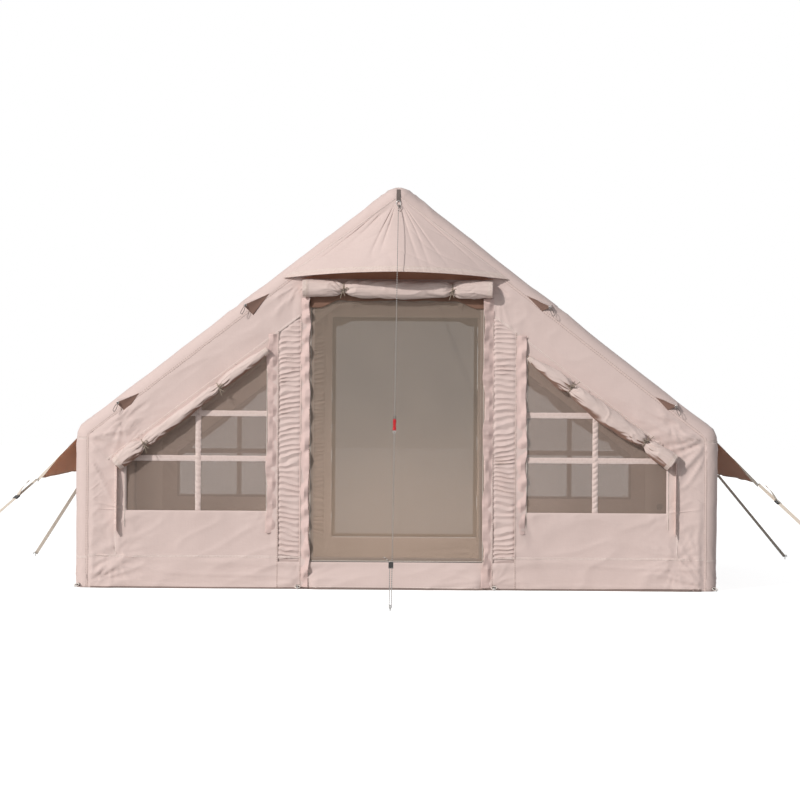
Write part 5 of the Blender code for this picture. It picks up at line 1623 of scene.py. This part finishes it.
brown_lining = cloth_material("brown coated lining", painted(156, 98, 68), painted(186, 126, 92), 0.3)
# Painted shade: a brown sheet on the wall below the hood's hem stands for the hood's shadow
hood_shade_paint = cloth_material("painted shade below the hood", painted(186, 134, 108), painted(212, 160, 134), 0.3)
hem_paint = seam_material(
    "hem of the tent cloth", painted(202, 180, 170), painted(236, 216, 208), painted(248, 238, 230), 0.024,
    0.0035
)
for name, side in GABLES:
    across, down = np.meshgrid(np.linspace(-1, 1, 150), np.linspace(0, 1, 110), indexing="ij")
    canopy = sheet_piece(
        f"{name}_hood_cloth", hood_point(side, across, down), [cloth_paint, brown_lining], slot="cloth",
        nodes=[f"{name}_hood"], facing=(0, side, 0.2)
    )
    thicken(canopy, 0.0024)
    share = np.linspace(0, 1, 7)
    hem_across = np.linspace(-1, 1, 170)[:, None]
    points = hood_point(side, hem_across, 1 - share * HEM_DEPTH, swelling(7, 0.0006, 0.0014, 0.5))
    band = cloth_grid(points, share * 0.036, distances(points[:, 0])[:, None])
    hem = make_piece(f"{name}_hood_hem", *band, [hem_paint], slot="cloth", facing=(0, side, 0.2))
    sides = []
    share = np.linspace(0, 1, 6)
    down = np.linspace(0.02, 0.995, 120)[:, None]
    for sign in (-1, 1):
        across = sign * (1 - share * np.minimum(SIDE_SEAM / (0.02 + 0.671 * down), 0.5))
        points = hood_point(side, across, down, swelling(6, 0.0004, 0.0018))
        sides.append(cloth_grid(points, share * 0.014, distances(points[:, 0])[:, None]))
    edge = make_piece(
        f"{name}_hood_seams", *joined(sides), [seam_paint], slot="cloth", facing=(0, side, 0.2)
    )
    # Below the hem a brown sheet on the wall, painted shade of the hood
    x, up = np.meshgrid(np.linspace(-0.60, 0.60, 90), np.linspace(0, 1, 6), indexing="ij")
    z = HOOD_HEM - 0.004 + HEM_DEPTH * (1 - (x / 0.61) ** 2) * up
    points = gable_point(x, z, side, 0.0012)
    sheet_piece(f"{name}_hood_painted_shade", points, [hood_shade_paint], slot="lining", facing=(0, side, 0))


# Awning wings
# A wing of the tent's cloth, lined in brown, slopes out from each eave seam. Webbing patches at its two tips
# carry an eyelet for the strap, and its outer edge is bound.

EAVE_X = 2.0003
EAVE_LINE_Z = 0.9312
WING_REACH = 2.3 - EAVE_X
WING_FALL = 0.265
WING_HALF_DEPTHS = (1.42, 1.10)


def wing_point(sign, along, out):
    """Point of a wing, along from -1 at the front to 1 at the rear and out from the eave to the outer edge.

    The outer edge bows in by 0.07 * (1 - along ** 2), and the cloth sags by sin(pi * out) between its held
    sides.
    """
    along, out = np.broadcast_arrays(np.asarray(along, dtype=float), np.asarray(out, dtype=float))
    bow = 1 - along**2
    from_end = 1 - np.abs(along)
    reach = (WING_REACH - 0.07 * bow) * out
    fall = WING_FALL * reach / WING_REACH
    pull = 0.010 * creases(along * 2.2, out * 1.3 + 5, 430 + sign, 3) * smooth(0, 0.2, from_end)
    pull = pull * out * (1.2 - out)
    sag = 0.014 * np.sin(math.pi * out) * (1 - along**4) + 0.042 * bow * out**2
    sag = sag + 0.004 * wander(along * 7, out * 3, 440 + sign) * smooth(0, 0.2, out)
    y = along * (WING_HALF_DEPTHS[0] + (WING_HALF_DEPTHS[1] - WING_HALF_DEPTHS[0]) * out)
    z = EAVE_LINE_Z - fall - sag * smooth(0, 0.15, from_end) - pull
    return np.stack([sign * (EAVE_X + reach), y, z], axis=-1)


def ring_line(centre, first, second, radius, count=28):
    """Points of a closed ring: centre + radius * (first * cos + second * sin)."""
    return centre + radius * ring_around(first, second, np.linspace(0, 2 * math.pi, count))


# Sunlight passes through the wings' cloth and coating
wing_lining = cloth_material(
    "wing's brown lining", painted(158, 112, 82), painted(192, 144, 110), 0.3, Subsurface_Weight=0.85,
    Subsurface_Radius=(1.0, 0.85, 0.70), Subsurface_Scale=0.010
)
for hand, sign in HANDS:
    outwards = (sign, 0, 1)
    along, out = np.meshgrid(np.linspace(-1, 1, 200), np.linspace(0, 1, 30), indexing="ij")
    wing = sheet_piece(
        f"{hand}_wing_cloth", wing_point(sign, along, out), [cloth_paint, wing_lining], (1, 2),
        slot="cloth", nodes=[f"{hand}_eave_wing"], facing=outwards
    )
    thicken(wing, 0.0024)
    # Bound edges: places along and out, and how far the binding's width runs in from them
    share = np.linspace(0, 1, 5)
    side_line = np.linspace(0.02, 1, 40)[:, None]
    outer_line = np.linspace(-1, 1, 200)[:, None]
    binding = []
    for line_along, line_out in (
        (outer_line, 1 - 0.05 * share),
        (-1.0 + 0.012 * share, side_line),
        (1.0 - 0.012 * share, side_line),
    ):
        strip = wing_point(sign, line_along, line_out)
        strip[..., 2] += swelling(5, 0.0004, 0.0012)
        binding.append(cloth_grid(strip, share * 0.014, distances(strip[:, 0])[:, None]))
    patches, eyes = [], []
    for end in (-1, 1):
        patch_out = np.linspace(0.40, 1.0, 24)[:, None]
        patch = wing_point(sign, end, patch_out + 0 * share)
        patch[..., 1] += end * 0.0032
        patch[..., 2] += 0.002 - share * (0.004 + 0.022 * smooth(0.40, 0.92, patch_out))
        patches.append(cloth_grid(patch, share * 0.026, distances(patch[:, 0])[:, None]))
        eye = wing_point(sign, end, 0.965) + np.array((0.0, end * 0.0046, -0.011))
        eyes.append(tube(ring_line(eye, RIGHT, UP, 0.0075, 24), 0.0022))
    make_piece(f"{hand}_wing_patches", *joined(patches), [webbing_paint], slot="webbing", facing=outwards)
    make_piece(f"{hand}_wing_eyelets", *joined(eyes), [steel_paint], slot="steel")
    edge = make_piece(f"{hand}_wing_binding", *joined(binding), [seam_paint], slot="cloth", facing=outwards)


# Air beams
# Two inflated arches of sewn cloth sleeves with a film bladder in each, and three beams between them. Ports
# join the bladders, so one valve fills them. The sleeves pleat on the inside of the arches' bends.

BEAM_RADIUS = 0.0995
BEAM_INSET = 0.105
BEAM_ROUNDING = 0.2235
BLADDER_RADIUS = 0.0955
ARCH_Y = 1.395
EAVE_BEAM = (1.8829, 0.9326)
arch_marks = house_marks(BEAM_ROUNDING)[0]


def arch_tube(side, radius, foot, stations, columns, pleat):
    """Tube round the arch's centre line, its inside drawn in by pleat * cos**2 folds where the line bends."""
    ends = arch_marks[4] - foot
    u = np.linspace(-ends, ends, stations)
    x, z, turn = house(u, BEAM_INSET, BEAM_ROUNDING)
    turn = turn * np.sign(u)
    centres = np.column_stack([x, np.full(stations, side * ARCH_Y), z])
    outwards = np.column_stack([np.sin(turn), np.zeros(stations), np.cos(turn)])
    far = np.abs(u)
    bend = smooth(0.16, 0.02, np.maximum(arch_marks[2] - far, far - arch_marks[3])) + smooth(0.26, 0.08, far)
    round_it = np.linspace(0, 2 * math.pi, columns, endpoint=False)
    inner = np.clip(-np.cos(round_it), 0, 1) ** 1.2
    folds = 0.5 + 0.5 * np.cos(u * 2 * math.pi / 0.030 + 2 * wander(u / 0.1, u * 0, 450))
    r = radius - pleat * bend[:, None] * inner[None, :] * folds[:, None]
    r = r - 0.25 * pleat * (1 + wander(u[:, None] / 0.2, round_it[None, :] * 1.3, 451 + side))
    section = np.stack([r * np.cos(round_it), r * np.sin(round_it)], axis=-1)
    return sweep(centres, outwards, np.array((0.0, 1.0, 0.0)), section)


sleeve_paint = cloth_material("sleeve cloth", painted(202, 180, 166), painted(224, 204, 190), 0.3, 0.003)
film_paint = noisy_paint(
    "clear bladder film", painted(196, 200, 202), painted(222, 226, 228), (9.0, 3.0),
    (9.0, 3.0, 0.004, 0.4), Roughness=0.22, Alpha=0.75
)


def make_sleeve(label, points, faces, uv, length, rests_on, **settings):
    """The cloth sleeve round a beam."""
    name = f"{label}_sleeve_cloth"
    sleeve = make_piece(name, points, faces, uv, [sleeve_paint], slot="cloth", nodes=[f"{label}_sleeve"])
    thicken(sleeve, 0.0015, lined=False)


def make_bladder(label, points, faces, uv, caps):
    """The inflated film inside a beam's sleeve."""
    name = f"{label}_bladder_film"
    bladder = make_piece(
        name, points, faces, uv, [film_paint], slot="film", nodes=[f"{label}_bladder"], caps=caps
    )


for name, side in GABLES:
    label = f"{name}_arch"
    foot = 0.0036
    points, faces, uv, _ = arch_tube(side, BEAM_RADIUS, foot, 620, 40, 0.006)
    length = 2 * (arch_marks[4] - foot)
    make_sleeve(label, points, faces, uv, length, ["groundsheet_cloth"], with_pieces=[f"{name}_valve_body"])
    make_bladder(label, *arch_tube(side, BLADDER_RADIUS, 0.0040, 300, 24, 0.004))

# Each beam's sleeve ends where it meets the arches: ARCH_Y - sqrt(radius ** 2 - distance to their line ** 2)
line_u = np.linspace(0, arch_marks[3] + 0.3, 3000)
arch_x, arch_z, _ = house(line_u, BEAM_INSET, BEAM_ROUNDING)
# A bladder's stations along one half and its radius at each: a narrow port, a rounded end, then straight
port, quarter = -1.293, np.linspace(0, math.pi / 2, 8)
ends = np.concatenate([[-1.299, port], port + 0.05 * (1 - np.cos(quarter))])
widths = np.concatenate([[0.0128, 0.0128], 0.013 + 0.0825 * np.sin(quarter)])
stations = np.concatenate([ends, np.linspace(-1.2, 1.2, 40), -ends[::-1]])
widths = np.concatenate([widths, np.full(40, BLADDER_RADIUS), widths[::-1]])
for label, x, z in (
    ("ridge_beam", 0.0, 2.3757),
    ("left_eave_beam", -EAVE_BEAM[0], EAVE_BEAM[1]),
    ("right_eave_beam", *EAVE_BEAM),
):
    round_it = np.linspace(0, 2 * math.pi, 40, endpoint=False)
    skin_x, skin_z = x + BEAM_RADIUS * np.sin(round_it), z + BEAM_RADIUS * np.cos(round_it)
    off = np.hypot(arch_x[None, :] - np.abs(skin_x)[:, None], arch_z[None, :] - skin_z[:, None]).min(axis=1)
    reach = np.sqrt(np.clip(0.1**2 - off**2, 0, None))
    end = np.minimum(ARCH_Y - reach - 0.003, ARCH_Y - 0.06)
    y = np.linspace(-1, 1, 160)[:, None] * end
    r = BEAM_RADIUS - 0.0012 * (1 + wander(y / 0.2, round_it * 1.3, 460))
    r = r - 0.003 * np.exp(-(end - np.abs(y)) / 0.04) * (0.5 + 0.5 * np.cos(9 * round_it))
    points = np.stack([x + r * np.sin(round_it), y, z + r * np.cos(round_it)], axis=-1)
    faces, places = grid(*y.shape, closed=True)
    uv = np.stack([places[..., 1] * 2 * math.pi * BEAM_RADIUS / 40, y[:, 0][places[..., 0]]], axis=-1)
    make_sleeve(label, points, faces, uv, 2.62, ["front_arch_sleeve_cloth", "rear_arch_sleeve_cloth"])
    section = widths[:, None, None] * ring_around(*np.eye(2), np.linspace(0, 2 * math.pi, 24, endpoint=False))
    centres = np.column_stack([np.full(len(stations), x), stations, np.full(len(stations), z)])
    make_bladder(label, *sweep(centres, RIGHT, UP, section))


# Door headers
# The top of each cloth door hangs in front of the netting below the roll, its lower edge bowed up between
# two drooping corners. Its dark brown is painted shade of the roll above it.

HEADER_HALF = 0.545
HEADER_TOP = 1.858
HEADER_LOW = 1.796
CORNER_DROOP = 0.046
# Painted shade: the header's dark brown stands for the roll's shadow
header_shade_paint = cloth_material("door header in painted shade", painted(112, 80, 64), painted(136, 102, 84), 0.4, 0.003)
for name, side in GABLES:
    x, up = np.meshgrid(np.linspace(-HEADER_HALF, HEADER_HALF, 110), np.linspace(0, 1, 14), indexing="ij")
    low = HEADER_LOW - CORNER_DROOP * smooth(0.36, 0.50, np.abs(x))
    low = low + 0.004 * wander(x / 0.09, up * 0, 500 + side)
    z = low + (HEADER_TOP - low) * up
    sway = 0.006 * creases(x / 0.07, up * 2, 501 + side, 2) * (1 - up)
    sway = sway + 0.003 * wander(x / 0.2, up, 502 + side)
    points = np.stack([x, side * (GABLE_Y + 0.0045 + sway + 0.004 * (1 - up)), z], axis=-1)
    paints = [header_shade_paint, lining_paint]
    header = sheet_piece(f"{name}_door_header", points, paints, slot="cloth", facing=(0, side, 0))
    thicken(header, 0.0014)


# Roof-edge tabs
# Triangles of cloth, sewn into the seam of the roof's edge, carry the eyelets for side guylines. The upper
# facet of each has the tent's cloth and the under one a dark brown, which is painted shade. A thin cord loop
# hangs in each eyelet.

thin_cord = cloth_material("dark loop cord", painted(52, 47, 45), painted(112, 104, 98), 0.9, 0.0005)
tab_shade_cloth = cloth_material("tab underside in painted shade", painted(116, 88, 77), painted(142, 110, 97), 0.4, 0.001)
# Knots of the cord loop from the eyelet: out from the wall, down, and along the roof's edge
TAB_LOOP = (
    (0, 0, 0),
    (0.010, 0.006, 0),
    (0.012, 0.030, 0.006),
    (0.010, 0.050, 0.022),
    (0.010, 0.034, 0.034),
    (0.010, 0.012, 0.018),
    (0.002, 0, 0),
)
TAB_PLACES = (("upper", 0.800, 0.958), ("lower", 1.606, 1.745))


def edge_place(mirror, side, x, proud, inset):
    """Point beside a roof edge: x from the middle, proud of the gable, inset below the roof's line."""
    return np.array((mirror * x, side * (GABLE_Y + proud), roof_height(x, inset)))


tab_cords, eyelets = [], []
for name, side in GABLES:
    out = np.array((0.0, float(side), 0.0))
    for hand, mirror in HANDS:
        for label, top_x, tip_x in TAB_PLACES:
            # The sewn end and the lower corner lie on the wall, the upper corner on the roof's edge
            sewn = edge_place(mirror, side, top_x, 0.002, 0.066)
            tip = edge_place(mirror, side, tip_x, 0.030, 0.028)
            low_corner = edge_place(mirror, side, tip_x - 0.060, 0.003, 0.112 if mirror < 0 else 0.084)
            high_corner = edge_place(mirror, side, tip_x + 0.006, -0.052, 0.004)
            down = unit(tip - sewn)
            length = float(np.linalg.norm(tip - sewn))
            along, across = np.meshgrid(np.linspace(0, 1, 26), np.linspace(0, 1, 9), indexing="ij")
            # The under facet's brown is painted shade; the over facet has the tent's cloth
            for half, corner, paint, wall in (
                ("under", low_corner, tab_shade_cloth, f"{name}_wall_cloth"),
                ("over", high_corner, cloth_paint, f"{hand}_roof_cloth"),
            ):
                share = across[..., None]
                edge = (tip - sewn) * along[..., None]
                points = sewn + (1 - share) * edge + share * (corner - sewn) * along[..., None]
                bow = 0.006 * np.sin(math.pi * across) * along
                bow = bow + 0.0015 * wander(along * 5, across * 2, 520 + mirror)
                points[..., 1] -= side * bow * (half == "under") * smooth(0, 0.2, along)
                laid = cloth_grid(points, across * 0.08, along * length)
                piece = f"{name}_{hand}_{label}_tab_{half}"
                facet = make_piece(piece, *laid, [paint], slot="cloth", facing=(0, side, 0))
                thicken(facet, 0.0012, lined=False)
                wide = float(np.linalg.norm(corner - tip))
            eye = tip - down * 0.014 - UP * 0.006
            eyelets.append(
                tube(ring_line(eye + out * 0.0030, down, unit(np.cross(out, down)), 0.0062), 0.0016)
            )
            loop = [eye + out * a - UP * b + down * c for a, b, c in TAB_LOOP]
            tab_cords.append(tube(eased_line(loop, 40), 0.0017))
make_piece("tab_eyelets", *joined(eyelets), [steel_paint], slot="steel")
make_piece("tab_loops", *joined(tab_cords), [thin_cord], slot="cord")


# Apex tab and ring
# A folded tab of dark webbing is sewn over the front edge at the apex. It holds the steel ring that the
# guyline is knotted to.

dark_webbing = woven_paint("dark webbing", 0.0022, painted(84, 74, 70), painted(136, 122, 116), 0.85)

RING_CENTRE = np.array((0.0, -1.5149, 2.4042))
RING_RADIUS = 0.014
over_v = np.linspace(DEPTH_ARC - 0.055, 0.0, 30)
centre_line = skin_point(0.0, over_v, 0.0022 + 0.0065 * smooth(0.05, 0.0, over_v))
last = centre_line[-1]
tail = np.array([last + (RING_CENTRE + (0, -0.001, 0.0125) - last) * t for t in (0.35, 0.7, 1.0)])
centre_line = np.concatenate([centre_line, tail])
away = np.cross(RIGHT, unit(np.gradient(centre_line, axis=0)))
points, faces, uv, caps = sweep(centre_line, RIGHT, away, webbing_section(0.0245, 0.0019))
# On the ridge the tab's edges follow the two roofs down
points[..., 2] -= points[..., 0] ** 2 * 0.9 * smooth(0.2, 0.9, (points[..., 2] - 2.43) / 0.09)
make_piece(
    "apex_tab", points, faces, uv, [dark_webbing], slot="webbing", nodes=["guyline_anchor"], caps=caps
)
ring = tube(ring_line(RING_CENTRE, RIGHT, UP, RING_RADIUS, 40), 0.002, 12)
make_piece("apex_ring", *ring, [steel_paint], slot="steel")
# The knot is a coil of three turns below the ring, with a small bow beside it
knot = RING_CENTRE + np.array((0.0, -0.0045, -0.0165))
turns = np.linspace(0, 2 * math.pi * 3.2, 90)
coil = [0.0040 * np.cos(turns), 0.0030 * np.sin(turns), -0.0062 * turns / turns[-1] * 2 + 0.004]
bow = [(0, 0, 0), (0.012, -0.004, 0.006), (0.020, -0.003, -0.008)]
bow += [(0.010, -0.004, -0.020), (0.004, -0.003, -0.034)]
knot_parts = [tube(knot + np.column_stack(coil), 0.0019), tube(eased_line(knot + np.array(bow), 30), 0.0018)]
make_piece("guyline_knot", *joined(knot_parts), [guyline_paint], slot="cord")


# Base rings
# Webbing loops are sewn to the foot of the walls at the corners and beside the doors. Each holds a small
# ring, pegged down with a short hook.

# Places of the rings: x, and the direction away from the wall
RING_PLACES = ((-0.61, 0.0, 1.0), (0.61, 0.0, 1.0), (-1.955, -0.45, 0.9), (1.955, 0.45, 0.9))
# Knots of a hook from its foot: up, and back towards the wall
HOOK_LINE = ((0, 0), (0.016, 0), (0.022, 0.005), (0.020, 0.011), (0.012, 0.013))
loop_section = webbing_section(0.020, 0.0014)
ring_parts, loop_parts, hook_parts = [], [], []
for name, side in GABLES:
    for x, out_x, out_y in RING_PLACES:
        out = unit(np.array((out_x, side * out_y, 0.0)))
        level = unit(np.cross(out, UP))
        root = np.array((x, side * (GABLE_Y + 0.001), 0.030))
        if abs(x) > 1:
            root[:2] = (math.copysign(1.970, x), side * 1.4790)
        turn = np.linspace(0, 1, 18)[:, None]
        bow = root + out * 0.020 * np.sin(turn * math.pi) - UP * 0.024 * turn
        ahead = unit(np.gradient(bow, axis=0))
        loop_parts.append(sweep(bow, level, np.cross(level, ahead), loop_section)[:3])
        centre = root + out * 0.032 - UP * 0.0125
        ring_parts.append(tube(ring_line(centre, unit(out - UP * 0.55), level, 0.0165, 30), 0.0025))
        foot = root * (1, 1, 0) + out * 0.050
        arch = [foot + UP * rise - out * back for rise, back in HOOK_LINE]
        hook_parts.append(tube(eased_line(arch, 22), 0.0026))
make_piece("base_loops", *joined(loop_parts), [dark_webbing], slot="webbing")
make_piece("base_rings", *joined(ring_parts), [zip_paint], slot="plastic")
make_piece("base_hooks", *joined(hook_parts), [steel_paint], slot="steel")


# Fittings
# Small moulded and metal parts, whose solids are the part's own: valve bodies and caps, the red runner and
# the black tensioner on the guyline, the buckles on the front straps, and the zip sliders.

black_plastic = noisy_paint(
    "black moulded plastic", painted(26, 25, 25), painted(58, 56, 55), (60.0, 3.0),
    (900.0, 2.0, 0.0001, 0.5), Roughness=0.42
)
red_metal = noisy_paint(
    "red anodised aluminium", painted(150, 22, 30), painted(214, 52, 58), (320.0, 2.0),
    (320.0, 2.0, 0.0001, 0.5), Metallic=0.7, Roughness=0.34
)
black_parts = [f"{name}_valve_{half}" for name, _ in GABLES for half in ("body", "cap")]
black_parts += ["guyline_tensioner", *(f"front_{hand}_buckle" for hand, _ in HANDS)]
sliders = [f"{name}_{hand}_zip_slider" for name, _ in GABLES for hand, _ in HANDS]
for paint, names in ((black_plastic, black_parts), (red_metal, ["guyline_runner"]), (steel_paint, sliders)):
    for name in names:
        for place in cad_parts[name].material_slots:
            place.material = paint

# A split ring hangs below the red runner and a knotted loop sits above it; both slide with it
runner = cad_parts["guyline_runner"]
middle = np.mean([tuple(runner.matrix_world @ Vector(corner)) for corner in runner.bound_box], axis=0)
downhill = unit(np.array((0.0, -3.12, 0.0)) - RING_CENTRE)
split_ring = tube(ring_line(middle + downhill * 0.048, RIGHT, downhill, 0.0085), 0.0015)
make_piece("runner_ring", *split_ring, [steel_paint], body="guyline_runner", slot="steel")
bow = [(0, 0.038), (0.006, 0.047), (0.009, 0.056), (0.002, 0.062)]
bow += [(-0.008, 0.056), (-0.005, 0.046), (0.001, 0.040)]
bow = [middle + RIGHT * across - downhill * up + np.array((0.0, -0.003, 0.0)) for across, up in bow]
make_piece(
    "runner_loop", *tube(eased_line(bow, 40), 0.0021), [thin_cord], body="guyline_runner", slot="cord"
)
